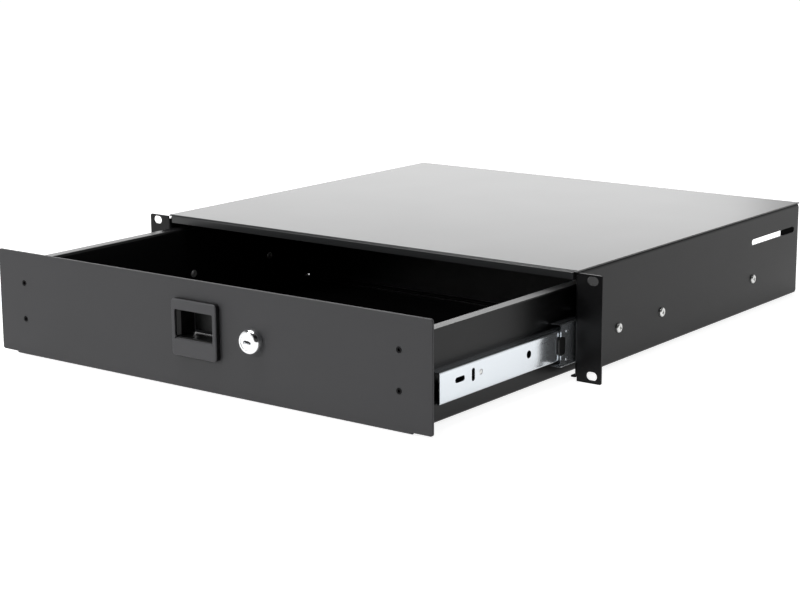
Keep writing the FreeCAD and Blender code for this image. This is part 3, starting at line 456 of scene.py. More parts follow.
# %% Bend the strip and run it out
rolled, given = start_tree("rolled_section", {
    "Sheet": "Float", "Bend": "Float", "Front": "Float", "Length": "Float",
    "Raised": "Object", "Cut away": "Object", "Finish": "Material"})
line = add_node(rolled, "GeometryNodeMeshToCurve", {0: given["Geometry"]})
bent = add_node(rolled, "GeometryNodeFilletCurve", {
    0: line.outputs[0], "Count": 7, "Radius": given["Bend"]}, mode="POLY")
wire = add_node(rolled, "GeometryNodeCurveToMesh", {0: bent.outputs[0]})
to_front = add_node(rolled, "ShaderNodeCombineXYZ", {"Y": given["Front"]})
at_front = add_node(rolled, "GeometryNodeSetPosition", {
    0: wire.outputs[0], "Offset": to_front.outputs[0]})
run = add_node(rolled, "ShaderNodeCombineXYZ", {"Y": given["Length"]})
skin = add_node(rolled, "GeometryNodeExtrudeMesh", {
    0: at_front.outputs[0], "Offset": run.outputs[0], "Offset Scale": 1.0}, mode="EDGES")
print("rolled_section so far:", len(rolled.nodes), "nodes")

# %% [markdown]
# The second half gives the skin its wall. It is moved half a sheet to one side and
# pushed back by a whole sheet, which leaves the middle of the wall on the line.
# Then comes what a press does: dimples are joined on, and holes and ball grooves
# are cut away. Both tool sets come in as objects, so the tree knows no hole.

# %% Give it a wall, press it and punch it
half_back = add_node(rolled, "ShaderNodeMath", {0: given["Sheet"], 1: -0.5}, operation="MULTIPLY")
outward = add_node(rolled, "GeometryNodeInputNormal")
inset = add_node(rolled, "ShaderNodeVectorMath", {
    0: outward.outputs[0], "Scale": half_back.outputs[0]}, operation="SCALE")
one_side = add_node(rolled, "GeometryNodeSetPosition", {
    0: skin.outputs[0], "Offset": inset.outputs[0]})
wall = add_node(rolled, "GeometryNodeExtrudeMesh", {
    0: one_side.outputs[0], "Offset Scale": given["Sheet"], "Individual": False}, mode="FACES")
back = add_node(rolled, "GeometryNodeFlipFaces", {0: one_side.outputs[0]})
shell = add_node(rolled, "GeometryNodeJoinGeometry", {0: wall.outputs[0]})
rolled.links.new(back.outputs[0], shell.inputs[0])
closed = add_node(rolled, "GeometryNodeMergeByDistance", {0: shell.outputs[0], "Distance": 1e-6})
raised = add_node(rolled, "GeometryNodeObjectInfo", {"Object": given["Raised"]})
pressed = add_node(rolled, "GeometryNodeMeshBoolean", {1: closed.outputs[0]},
                   operation="UNION", solver="EXACT")
rolled.links.new(raised.outputs["Geometry"], pressed.inputs[1])
cutters = add_node(rolled, "GeometryNodeObjectInfo", {"Object": given["Cut away"]})
punched = add_node(rolled, "GeometryNodeMeshBoolean", {
    0: pressed.outputs[0], 1: cutters.outputs["Geometry"]}, operation="DIFFERENCE", solver="EXACT")
end_tree(rolled, given, punched.outputs[0])
print("rolled_section:", len(rolled.nodes), "nodes")

# %% [markdown]
# What is pressed out of a strip, most of what is punched from it, and every screw
# and nut are turned forms. A lathe needs only half an outline, and so does this
# helper: pairs of radius and height about an axis. Where a radius is zero, the form
# closes in a single point.

# %% Turned forms


def turned(shape, profile, place=(0, 0, 0), axis=(0, 0, 1), segments=24, ring=False):
    """Adds a turned form: (radius, height) pairs in mm about an axis through a place."""
    stand = Vector(axis).to_track_quat("Z", "X").to_matrix()
    rings = []
    for radius, height in profile:
        count = segments if radius else 1
        spots = [(radius * math.cos(2 * math.pi * i / count),
                  radius * math.sin(2 * math.pi * i / count), height) for i in range(count)]
        rings.append([shape.verts.new(stand @ Vector(spot) * MM + Vector(place))
                      for spot in spots])
    faces = []
    for low, high in zip(rings, rings[1:] + (rings[:1] if ring else [])):
        for i in range(segments):
            corners = [low[i % len(low)], low[(i + 1) % segments % len(low)],
                       high[(i + 1) % segments % len(high)], high[i % len(high)]]
            corners = list(dict.fromkeys(corners))
            if len(corners) > 2:
                faces.append(shape.faces.new(corners))
    bmesh.ops.recalc_face_normals(shape, faces=faces)


def rod_tool(shape, radius_mm, place, axis, length, segments=24):
    """A plain round tool: radius in mm, length in metres."""
    end = length / MM
    turned(shape, [(0, 0), (radius_mm, 0), (radius_mm, end), (0, end)], place, axis, segments)


print("turned forms have 24 sides unless told otherwise")

# %% [markdown]
# A slot is punched by a straight tool with round ends. Its outline is one circle
# whose two halves are drawn apart, along Y or Z, by what the slot is longer than
# wide.

# %% Slot tools
slot_points = 24


def slot_tool(shape, along, across, y, z, x0, x1):
    """A round-ended slot through the web: along Y or Z by its longer size, in metres."""
    radius = min(along, across) / 2
    reach_y, reach_z = max(along / 2 - radius, 0), max(across / 2 - radius, 0)
    spots = []
    for i in range(slot_points):
        angle = 2 * math.pi * (i + 0.5) / slot_points
        c, s = math.cos(angle), math.sin(angle)
        spots.append((y + radius * c + math.copysign(reach_y, c),
                      z + radius * s + math.copysign(reach_z, s)))
    near_ring = [shape.verts.new((x0, a, b)) for a, b in spots]
    far_ring = [shape.verts.new((x1, a, b)) for a, b in spots]
    faces = [shape.faces.new(near_ring), shape.faces.new(far_ring[::-1])]
    for i in range(slot_points):
        j = (i + 1) % slot_points
        faces.append(shape.faces.new([near_ring[j], near_ring[i], far_ring[i], far_ring[j]]))
    bmesh.ops.recalc_face_normals(shape, faces=faces)


def as_mesh(shape, name):
    """A finished form as a mesh."""
    mesh = bpy.data.meshes.new(name)
    shape.to_mesh(mesh)
    shape.free()
    return mesh


print("a slot's outline has", slot_points, "points")

# %% [markdown]
# Screws, nuts and balls of a kind share one CAD node as separate solids. To set new
# ones in their place, the node's mesh is walked from corner to corner, and each
# island of joined corners gives one box.

# %% The boxes of separate solids


def loose_boxes(node):
    """The boxes of a node's separate solids, in a fixed order."""
    shape = bmesh.new()
    shape.from_mesh(nodes[node].data)
    bmesh.ops.remove_doubles(shape, verts=shape.verts, dist=1e-6)
    shape.verts.index_update()
    seen, boxes = set(), []
    for first in shape.verts:
        if first.index in seen:
            continue
        seen.add(first.index)
        heap, spots = [first], []
        while heap:
            vert = heap.pop()
            spots.append(vert.co.copy())
            for edge in vert.link_edges:
                other = edge.other_vert(vert)
                if other.index not in seen:
                    seen.add(other.index)
                    heap.append(other)
        boxes.append((Vector([min(s[i] for s in spots) for i in range(3)]),
                      Vector([max(s[i] for s in spots) for i in range(3)])))
    shape.free()
    return sorted(boxes, key=lambda pair: [round(v, 5) for v in pair[0]])


print("outer screws:", len(loose_boxes("outer_rail_screws")))

# %% [markdown]
# The three rails of a slide nest in each other, and a ball row runs in each gap above
# and below. The balls' own boxes say where: how far out the rows run, how high the
# slide's middle is, and how far each row rises above it. A groove is a little wider
# than its ball, so that the ball touches it on a narrow line.

# %% Where the balls run
ball_radius = 2.3
ball_line = sum((b[0] + b[1]).x / 2 for b in loose_boxes("outer_balls_right")) / 20
slide_z = sum(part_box("outer_balls_right")[i].z for i in (0, 1)) / 2
groove_radius = 2.5
ball_rises = {name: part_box(name)[1].z - ball_radius * MM - slide_z
              for name in ("outer_balls_right", "inner_balls_right")}
print("ball line x", round(ball_line, 5), "rises", {k: round(v, 5) for k, v in ball_rises.items()})

# %% [markdown]
# Small helpers come first: the line across a section, from one flange's tip over the
# web to the other's, the round tools that leave grooves for the balls, and the mirror
# image for the left side. A mirror turns faces inside out, so they are flipped again.

# %% Section line, ball grooves and mirror image


def section_mesh(web_x, tip_x, half):
    """The line across a rail's section, from flange tip to web to flange tip."""
    mesh = bpy.data.meshes.new("section_line")
    spots = [(tip_x, 0, slide_z + half), (web_x, 0, slide_z + half),
             (web_x, 0, slide_z - half), (tip_x, 0, slide_z - half)]
    mesh.from_pydata(spots, [(0, 1), (1, 2), (2, 3)], [])
    return mesh


def groove_tools(shape, rises, front, length):
    """Round tools along the rail, where the ball rows run above and below."""
    for rise in rises:
        for sign in (-1, 1):
            rod_tool(shape, groove_radius, (ball_line, front - MM, slide_z + sign * rise),
                     (0, 1, 0), length + 2 * MM, 32)


def other_side(mesh):
    """The mirror image of a mesh across the part's middle, with its faces outwards."""
    mirror = mesh.copy()
    mirror.transform(Matrix.Scale(-1, 4, (1, 0, 0)))
    mirror.flip_normals()
    return mirror


def span_of(node):
    """A node's front end and its length along Y."""
    low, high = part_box(node)
    return low.y, high.y - low.y


print("outer rail, front and length:", [round(v, 4) for v in span_of("outer_rail_right")])

# %% [markdown]
# One helper rolls a strip for the right side, mirrors it, and stands both for their
# CAD nodes. The cuts leave a few crumbs of edges, which are merged. The count of
# open edges that is printed should be nought: a rail is a closed solid.

# %% Roll a strip and mirror it


def roll(name, node_start, sheet, bend, web_x, tip_x, half, span, tools, finish,
         bumps=None):
    """Rolls one strip for the right side, mirrors it, and stands both for their nodes."""
    front, length = span
    punch = new_piece("punch", as_mesh(tools, "punch"))
    press = new_piece("press", as_mesh(bumps or bmesh.new(), "press"))
    piece = run_tree(rolled, name + "_right", section_mesh(web_x, tip_x, half), {
        "Sheet": sheet, "Bend": bend, "Front": front, "Length": length,
        "Raised": press, "Cut away": punch, "Finish": finish})
    bpy.data.objects.remove(punch)
    bpy.data.objects.remove(press)
    shape = bmesh.new()
    shape.from_mesh(piece.data)
    bmesh.ops.remove_doubles(shape, verts=shape.verts, dist=2e-6)
    bmesh.ops.dissolve_degenerate(shape, edges=shape.edges, dist=1e-6)
    bmesh.ops.recalc_face_normals(shape, faces=shape.faces)
    open_edges = sum(not e.is_manifold for e in shape.edges)
    shape.to_mesh(piece.data)
    shape.free()
    smooth_by_angle(piece.data, 30)
    twin = new_piece(name + "_left", other_side(piece.data))
    for side, one in (("_right", piece), ("_left", twin)):
        node = node_start + side
        keep_plain(one, finish, nodes[node]["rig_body"], "zinc_rail", node)
    print(name, len(piece.data.polygons), "faces, open edges", open_edges)


web_reach = 4 * MM
screw_hole = 2.15
print("punches reach", web_reach, "m to each side of a web")

# %% [markdown]
# The fixed rail is screwed to the side panel. It is the heaviest strip, 1.2 mm, and
# the others are 1 mm. The bend is given at the middle of the sheet: 1.4 mm leaves
# about two thirds of the sheet as inner radius, and the corner carries one bright
# line along the whole rail. The three screw holes sit where the screws are.

# %% The outer rails
outer_sheet = 1.2 * MM
low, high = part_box("outer_rail_right")
tools = bmesh.new()
groove_tools(tools, [ball_rises["outer_balls_right"]], *span_of("outer_rail_right"))
for screw in loose_boxes("outer_rail_screws")[-3:]:
    centre = (screw[0] + screw[1]) / 2
    rod_tool(tools, screw_hole, (high.x - web_reach, centre.y, centre.z), (1, 0, 0),
             2 * web_reach)
roll("outer_channel", "outer_rail", outer_sheet, 1.4 * MM, high.x - outer_sheet / 2, low.x,
     (high.z - low.z) / 2 - outer_sheet / 2, span_of("outer_rail_right"), tools, zinc_strip)

# %% [markdown]
# The middle rail runs between both ball sets, so it has a groove on each side. Two
# round dimples near its front end are pressed outwards. They are turned domes that
# sink into the web at their foot, so that the join closes. A nylon bumper sits in a
# notch at the strip's very front.

# %% The middle rails, with stop dimples and bumper notch
thin_sheet, thin_bend = 1 * MM, 1.2 * MM
low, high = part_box("mid_rail_right")
dimple_height = 0.5 * MM
mid_web = high.x - dimple_height
tools, bumps = bmesh.new(), bmesh.new()
groove_tools(tools, ball_rises.values(), *span_of("mid_rail_right"))
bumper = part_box("mid_rail_bumper_right")
slot_tool(tools, 2 * (bumper[1].y - low.y), bumper[1].z - bumper[0].z, low.y, slide_z,
          mid_web - web_reach, mid_web + web_reach)
dimple_place, dimple_rise = 8, 11.3
cap = [(0, 0.5), (0.9, 0.42), (1.55, 0.16), (1.9, -0.1), (1.9, -0.4), (0, -0.4)]
for sign in (-1, 1):
    turned(bumps, cap, (mid_web, low.y + dimple_place * MM, slide_z + sign * dimple_rise * MM),
           (1, 0, 0))
roll("mid_channel", "mid_rail", thin_sheet, thin_bend, mid_web - thin_sheet / 2, low.x,
     (high.z - low.z) / 2 - thin_sheet / 2, span_of("mid_rail_right"), tools, zinc_strip, bumps)

# %% [markdown]
# The inner rail is screwed to the tray and pulls out with it, so its punching is
# the one that shows: a lying slot and a standing slot, three screw holes, and two
# spare holes whose mouths are chamfered into a bright ring. Places are millimetres
# from the rail's front end.

# %% The inner rails, with slots, screw holes and ringed spare holes
lying_place, lying_long, lying_high = 25.2, 12, 4.2
standing_place, standing_wide, standing_tall = 42, 4, 10
low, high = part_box("inner_rail_right")
screw_places, spare_places, hole_rise = (52, 189, 295), (116, 244), 2.2
hole_z = slide_z + hole_rise * MM
tools = bmesh.new()
groove_tools(tools, [ball_rises["inner_balls_right"]], *span_of("inner_rail_right"))
for place, along, across in ((lying_place, lying_long, lying_high),
                             (standing_place, standing_wide, standing_tall)):
    slot_tool(tools, along * MM, across * MM, low.y + place * MM, hole_z,
              high.x - web_reach, high.x + web_reach)
for place in screw_places:
    rod_tool(tools, screw_hole, (high.x - web_reach, low.y + place * MM, hole_z), (1, 0, 0),
             2 * web_reach)
spare_bore, spare_mouth = 2.1, 3.1
mouth = [(0, -web_reach / MM), (spare_bore, -web_reach / MM), (spare_bore, -0.3),
         (spare_mouth, 0), (spare_mouth, 1), (0, 1)]
for place in spare_places:
    turned(tools, mouth, (high.x, low.y + place * MM, hole_z), (1, 0, 0))
roll("inner_channel", "inner_rail", thin_sheet, thin_bend, high.x - thin_sheet / 2, low.x,
     (high.z - low.z) / 2 - thin_sheet / 2, span_of("inner_rail_right"), tools, zinc_strip)

# %% [markdown]
# A ball cage keeps its balls apart. It is the same kind of strip, four tenths of a
# millimetre thick, with a hole round every ball. The same tree bends it, with other
# sizes, and the holes are drilled where the balls' boxes are.

# %% Make the ball cages
cage_sheet, cage_bend, ball_hole = 0.4 * MM, 0.6 * MM, 2.4
for ring in ("outer", "inner"):
    low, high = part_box(ring + "_cage_right")
    tools = bmesh.new()
    for ball in loose_boxes(ring + "_balls_right"):
        centre = (ball[0] + ball[1]) / 2
        rod_tool(tools, ball_hole, centre - Vector((0, 0, groove_radius * MM)), (0, 0, 1),
                 2 * groove_radius * MM, 20)
    roll(ring + "_ball_cage", ring + "_cage", cage_sheet, cage_bend, high.x - cage_sheet / 2,
         low.x, (high.z - low.z) / 2 - cage_sheet / 2, span_of(ring + "_cage_right"), tools,
         zinc_plate)

# %% [markdown]
# ## Bearing balls
# Each slide runs on two sets of balls, and each set has two rows of ten. A row is a
# line of points with a ball on each, so the tree needs only a count, a pitch and a
# radius. It starts from the two points where the rows begin. A ball of fine
# triangles is round from all sides and has no poles.

# %% Ball rows as a tree
ball_rows, given = start_tree("ball_rows", {
    "Count": "Int", "Pitch": "Float", "Radius": "Float", "Finish": "Material"})
step = add_node(ball_rows, "ShaderNodeCombineXYZ", {"Y": given["Pitch"]})
row = add_node(ball_rows, "GeometryNodeMeshLine", {
    "Count": given["Count"], "Offset": step.outputs[0]}, mode="OFFSET")
rows = add_node(ball_rows, "GeometryNodeInstanceOnPoints", {
    0: given["Geometry"], "Instance": row.outputs[0]})
spots = add_node(ball_rows, "GeometryNodeRealizeInstances", {0: rows.outputs[0]})
ball = add_node(ball_rows, "GeometryNodeMeshIcoSphere", {
    "Radius": given["Radius"], "Subdivisions": 3})
placed = add_node(ball_rows, "GeometryNodeInstanceOnPoints", {
    0: spots.outputs[0], "Instance": ball.outputs[0]})
smooth = add_node(ball_rows, "GeometryNodeSetShadeSmooth", {0: placed.outputs[0]})
end_tree(ball_rows, given, smooth.outputs[0])
print("ball_rows:", len(ball_rows.nodes), "nodes")

# %% [markdown]
# Count and pitch aren't typed in: they come from the boxes of the CAD balls, and the
# first ball of each row gives the row's start.

# %% Set the balls in their rows
for ring in ("outer", "inner"):
    for side in ("right", "left"):
        node = f"{ring}_balls_{side}"
        balls = [(low + high) / 2 for low, high in loose_boxes(node)]
        first_y = min(ball.y for ball in balls)
        starts = bpy.data.meshes.new("row_starts")
        starts.from_pydata([b for b in balls if b.y < first_y + MM], [], [])
        count = len(balls) // 2
        pitch = (max(ball.y for ball in balls) - first_y) / (count - 1)
        piece = run_tree(ball_rows, node + "_rows", starts, {
            "Count": count, "Pitch": pitch, "Radius": ball_radius * MM, "Finish": ball_steel})
        keep_plain(piece, ball_steel, nodes[node]["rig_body"], "ball_steel", node)
        print(piece.name, count, "per row, pitch", round(pitch / MM, 2), "mm")

# %% [markdown]
# ## Screws, rivets, nuts and spacers
# A fastener is turned or headed, so each kind is one turned form with its drive cut
# out, and a tree sets it on every place. A point carries the direction its head
# looks in. Nobody lines up the crosses of screws, so each is turned by a seeded
# random angle about its own axis.

# %% Fasteners as a tree
fastened, given = start_tree("fasteners_on_points", {
    "Fastener": "Object", "Seed": "Int", "Finish": "Material"})
looks = add_node(fastened, "GeometryNodeInputNamedAttribute", {"Name": "axis"},
                 data_type="FLOAT_VECTOR")
stand = add_node(fastened, "FunctionNodeAlignRotationToVector", {
    "Vector": looks.outputs[0]}, axis="Z")
angle = add_node(fastened, "FunctionNodeRandomValue", {
    2: 0.0, 3: 2 * math.pi, "Seed": given["Seed"]}, data_type="FLOAT")
turn = add_node(fastened, "FunctionNodeAxisAngleToRotation", {
    "Axis": (0, 0, 1), "Angle": angle.outputs[1]})
way = add_node(fastened, "FunctionNodeRotateRotation", {
    0: stand.outputs[0], 1: turn.outputs[0]}, rotation_space="LOCAL")
master = add_node(fastened, "GeometryNodeObjectInfo", {"Object": given["Fastener"]})
placed = add_node(fastened, "GeometryNodeInstanceOnPoints", {
    0: given["Geometry"], "Instance": master.outputs["Geometry"], "Rotation": way.outputs[0]})
end_tree(fastened, given, placed.outputs[0])
print("fasteners_on_points:", len(fastened.nodes), "nodes")

# %% [markdown]
# Two helpers go with the tree. One takes a drive's shape out of a head, with an
# exact boolean, because a recess that is only painted on would stay flat in the
# light. The other writes the places and directions as a mesh of points, runs the
# tree on them, and lets the master go.

# %% Cut a drive and set the fasteners


def cut_out(name, shape, tool, degrees=30):
    """A form with a tool's shape taken out of it, as a plain piece."""
    piece = new_piece(name, as_mesh(shape, name))
    cutter = new_piece("cutter", as_mesh(tool, "cutter"))
    taken = piece.modifiers.new("drive", "BOOLEAN")
    taken.operation = "DIFFERENCE"
    taken.solver = "EXACT"
    taken.use_self = True
    taken.object = cutter
    settle(piece)
    bpy.data.objects.remove(cutter)
    smooth_by_angle(piece.data, degrees)
    return piece


def set_fasteners(name, node, master, points, seed, finish, slot):
    """Sets a master fastener on points with directions, then lets the master go."""
    mesh = bpy.data.meshes.new(name + "_points")
    mesh.from_pydata([place for place, look in points], [], [])
    axis = mesh.attributes.new("axis", "FLOAT_VECTOR", "POINT")
    axis.data.foreach_set("vector", [v for place, look in points for v in look])
    piece = run_tree(fastened, name, mesh, {
        "Fastener": master, "Seed": seed, "Finish": finish})
    bpy.data.objects.remove(master)
    keep_plain(piece, finish, nodes[node]["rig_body"], slot, node)
    print(name, len(points), "set,", len(piece.data.polygons), "faces")


def centre_of(pair):
    return (pair[0] + pair[1]) / 2


print("panel screws to set:", len(loose_boxes("panel_screws")))

# %% [markdown]
# A pan head rises steeply from its seat, rounds over and flattens on top. Its curve
# is written as shares of the head's radius and height, so one helper serves four
# kinds of screw. The cross recess is four tapered wings. The thread isn't cut, only
# a lead-in cone at its end: the wall hides it.

# %% A pan head screw with a cross recess


def cross_tool(wing, width, depth, top):
    """Four tapered wings, as a cross driver's tip, standing on a head's top."""
    shape = bmesh.new()
    for across in (False, True):
        corners = []
        for height, reach, half in ((top + 0.4, wing * 1.1, width / 2 * 1.15),
                                    (top - depth, wing * 0.45, width / 2 * 0.75)):
            ring = [(-reach, -half), (reach, -half), (reach, half), (-reach, half)]
            if across:
                ring = [(b * 0.999, -a) for a, b in ring]
            corners.append([shape.verts.new(Vector((a, b, height)) * MM) for a, b in ring])
        upper, lower = corners
        faces = [shape.faces.new(upper), shape.faces.new(lower[::-1])]
        for i in range(4):
            j = (i + 1) % 4
            faces.append(shape.faces.new([upper[j], upper[i], lower[i], lower[j]]))
        bmesh.ops.recalc_face_normals(shape, faces=faces)
    return shape


def pan_screw(name, shank, length, head, height):
    """A screw with its seat at height zero; radii, length and height in mm."""
    shape = bmesh.new()
    curve = [(head, 0), (head, height * 0.35), (head * 0.97, height * 0.58),
             (head * 0.88, height * 0.8), (head * 0.7, height * 0.94), (head * 0.4, height),
             (0, height)]
    turned(shape, [(0, -length), (shank * 0.75, -length), (shank, -length + 0.4), (shank, 0)]
           + curve, segments=32)
    return cut_out(name, shape, cross_tool(head * 0.6, head * 0.24, height * 0.6, height))


def lengths(node, index):
    """The size of a node's first solid along one axis, in mm."""
    low, high = loose_boxes(node)[0]
    return (high - low)[index] / MM


print("side screws are", round(lengths("outer_rail_screws", 0), 2), "mm long with their heads")

# %% [markdown]
# The slides are held by small zinc screws. Three a side go through the chassis wall
# into the outer rail, with their heads outside. Three a side go from inside the
# tray, through spacers, into the inner rail. A screw's seat is its CAD box's end,
# less its head.

# %% Screws of the slides
outer_head, inner_head = 1.9, 1.7
thread = 2.0
points = []
for low, high in loose_boxes("outer_rail_screws"):
    side = math.copysign(1, low.x)
    seat = (high.x if side > 0 else low.x) - side * outer_head * MM
    points.append(((seat, *centre_of((low, high))[1:]), (side, 0, 0)))
set_fasteners("side_screws", "outer_rail_screws",
              pan_screw("side_screw", thread, lengths("outer_rail_screws", 0) - outer_head, 4.0,
                        outer_head), points, 11, zinc_plate, "zinc_screw")
points = []
for low, high in loose_boxes("inner_rail_screws"):
    side = math.copysign(1, low.x)
    seat = (low.x if side > 0 else high.x) + side * inner_head * MM
    points.append(((seat, *centre_of((low, high))[1:]), (-side, 0, 0)))
set_fasteners("tray_screws", "inner_rail_screws",
              pan_screw("tray_screw", thread, lengths("inner_rail_screws", 0) - inner_head, 3.6,
                        inner_head), points, 12, zinc_plate, "zinc_screw")

# %% [markdown]
# Two black screws come from behind, through the tray's front wall and the panel,
# into the bezel. One zinc screw holds the cam on the plug's tail. Their heads look
# to the rear.

# %% Screws of the latch and the cam
bezel_head, cam_head = 1.5, 2.0
points = [((centre_of(b).x, b[1].y - bezel_head * MM, centre_of(b).z), (0, 1, 0))
          for b in loose_boxes("latch_screws")]
set_fasteners("bezel_screws", "latch_screws",
              pan_screw("bezel_screw", 1.5, lengths("latch_screws", 1) - bezel_head, 2.8,
                        bezel_head), points, 13, black_oxide, "black_fastener")
points = [((centre_of(b).x, b[1].y - cam_head * MM, centre_of(b).z), (0, 1, 0))
          for b in loose_boxes("cam_screw")]
set_fasteners("cam_fixing_screw", "cam_screw",
              pan_screw("cam_fixing", 1.6, lengths("cam_screw", 1) - cam_head, 4.0, cam_head),
              points, 14, zinc_plate, "zinc_screw")

# %% [markdown]
# The panel screws are countersunk: a flat head flush with the panel, with a hexagon
# socket. A turned form with six sides is a hexagon key, so the socket's tool comes
# from the same helper.

# %% Panel screws
shape, tool = bmesh.new(), bmesh.new()
grip = lengths("panel_screws", 1)
turned(shape, [(0, -grip), (1.1, -grip), (1.5, -grip + 0.4), (1.5, -1.2), (2.4, -0.12),
               (2.4, -0.03), (2.2, 0), (0, 0)], segments=32)
socket_radius, socket_deep = 1.5, 1.6
turned(tool, [(0, -socket_deep), (socket_radius, -socket_deep), (socket_radius, 0.3), (0, 0.3)],
       segments=6)
points = [((centre_of(b).x, b[0].y, centre_of(b).z), (0, -1, 0))
          for b in loose_boxes("panel_screws")]
set_fasteners("sunk_panel_screws", "panel_screws", cut_out("sunk_screw", shape, tool), points,
              15, black_oxide, "black_fastener")

# %% [markdown]
# Plain hexagon nuts sit behind the tray's front wall. A nut is a turned form with
# six sides, and its corners are turned off on both faces, as a lathe leaves them.

# %% Hexagon nuts
shape, tool = bmesh.new(), bmesh.new()
tall, corner = lengths("panel_nuts", 1), lengths("panel_nuts", 0) / 2
turned(shape, [(0, 0), (corner * 0.86, 0), (corner, 0.35), (corner, tall - 0.35),
               (corner * 0.86, tall), (0, tall)], segments=6)
nut_bore = 1.65
turned(tool, [(0, -1), (nut_bore, -1), (nut_bore, tall + 1), (0, tall + 1)])
points = [((centre_of(b).x, b[0].y, centre_of(b).z), (0, 1, 0)) for b in loose_boxes("panel_nuts")]
set_fasteners("panel_hex_nuts", "panel_nuts", cut_out("hex_nut", shape, tool, 20), points,
              16, zinc_plate, "zinc_screw")

# %% [markdown]
# Blind rivets join the rear angle to the two sides. Such a rivet has a flat dome
# with a hole in its middle, where the stem broke off, and its far end is upset into
# a bulb.

# %% Blind rivets
shape, tool = bmesh.new(), bmesh.new()
deep = lengths("brace_rivets", 1)
head_tall = 1.0
turned(shape, [(0, -deep + head_tall), (1.5, -deep + head_tall), (2.4, -deep + head_tall + 0.5),
               (2.4, -deep + head_tall + 0.9), (1.6, -deep + head_tall + 1.0), (1.6, 0), (3.2, 0),
               (3.2, 0.2), (2.9, 0.55), (2.2, 0.85), (1.3, 1.0), (0, 1.0)], segments=28)
turned(tool, [(0, 0.35), (0.75, 0.35), (0.85, 1.5), (0, 1.5)], segments=16)
points = [((centre_of(b).x, b[1].y - head_tall * MM, centre_of(b).z), (0, 1, 0))
          for b in loose_boxes("brace_rivets")]
set_fasteners("blind_rivets", "brace_rivets", cut_out("blind_rivet", shape, tool), points,
              17, black_oxide, "black_fastener")

# %% [markdown]
# At each of the tray's screws a round spacer fills the gap between the tray's wall
# and the inner rail. A tube is a closed ring of its outline, so the last corner is
# joined to the first. Its outer edges are broken by fifteen hundredths of a
# millimetre.

# %% Spacer tubes
shape = bmesh.new()
wide = lengths("rail_spacers", 0)
tube_radius, broken = 4.0, 0.15
turned(shape, [(screw_hole, 0), (tube_radius - broken, 0), (tube_radius, broken),
               (tube_radius, wide - broken), (tube_radius - broken, wide), (screw_hole, wide)],
       segments=32, ring=True)
spacer = new_piece("spacer", as_mesh(shape, "spacer"))
smooth_by_angle(spacer.data)
points = []
for low, high in loose_boxes("rail_spacers"):
    side = math.copysign(1, low.x)
    points.append(((low.x if side > 0 else high.x, *centre_of((low, high))[1:]), (side, 0, 0)))
set_fasteners("slide_spacers", "rail_spacers", spacer, points, 18, zinc_plate, "zinc_screw")

# %% [markdown]
# ## Latch and lock
# The latch is a plastic moulding set in the panel. A bezel frames a finger cup, a
# paddle hangs in the cup on a steel pin, and a torsion spring closes it. The paddle
# draws a nylon bolt down. These small pieces could be modelled anew, but their CAD
# shape already fits together, so they get a rounded edge, as the sheets do. The
# same goes for the stops, the bumpers, and the lock's cam, nut and washer.

# %% Round the small mouldings and stampings
for node, name, width, material, slot in (
        ("latch_bezel", "latch_moulding", 0.25, latch_abs, "latch_plastic"),
        ("latch_frame", "latch_bracket", 0.15, zinc_plate, "zinc_screw"),
        ("latch_paddle", "push_paddle", 0.3, paddle_abs, "paddle_plastic"),
        ("latch_bolt", "sprung_bolt", 0.25, nylon, "black_nylon"),
        ("slide_stops", "rear_stops", 0.25, nylon, "black_nylon"),
        ("mid_rail_bumper_right", "front_bumper_right", 0.4, nylon, "black_nylon"),
        ("mid_rail_bumper_left", "front_bumper_left", 0.4, nylon, "black_nylon"),
        ("lock_cam", "cranked_cam", 0.25, zinc_plate, "zinc_screw"),
        ("lock_nut", "flat_lock_nut", 0.25, zinc_plate, "zinc_screw"),
        ("lock_washer", "toothed_washer", 0.1, zinc_plate, "zinc_screw")):
    piece = rounded_copy(node, name, width, material, slot)
    print(name, len(piece.data.polygons), "faces")

# %% [markdown]
# The cam lock is turned from brass and chromed. Its shell is a tube with a domed rim
# that rises from the panel: a straight edge of two millimetres, then a quarter of an
# ellipse in eight steps. The bore leaves only four hundredths of a millimetre round
# the plug, so that no dark gap shows between them.

# %% The lock's shell
low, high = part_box("lock_body")
centre = centre_of((low, high))
front = low.y
panel_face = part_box("front_panel")[0].y
proud = (panel_face - front) / MM
behind = (high.y - panel_face) / MM
shape = bmesh.new()
bore, barrel, rim_radius, rim_straight, dome = 6.28, 8.5, 10.2, 2.0, 3.3
rim = [(rim_radius - 0.2, 0), (rim_radius, 0.2), (rim_radius, rim_straight)]
for i in range(1, 9):
    angle = math.radians(90 * i / 8)
    rim.append((rim_radius - dome + dome * math.cos(angle),
                rim_straight + (proud - rim_straight) * math.sin(angle)))
turned(shape, [(bore, -behind), (barrel, -behind), (barrel, 0)] + rim
       + [(bore + 0.02, proud), (bore, proud - 0.04)], (centre.x, panel_face, centre.z),
       (0, -1, 0), segments=64, ring=True)
lock_shell = new_piece("lock_shell", as_mesh(shape, "lock_shell"))
smooth_by_angle(lock_shell.data, 30)
keep_plain(lock_shell, chrome, nodes["lock_body"]["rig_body"], "lock_chrome", "lock_body")
print("rim stands", round(proud, 2), "mm proud,", len(lock_shell.data.polygons), "faces")

# %% [markdown]
# The plug is a bar with a keyway cut in its flat face. The keyway is drawn as a
# plain notch with one raised shoulder. The true profile of the key isn't known, so
# this one is a guess. The plug rides on its own body and turns with the key.

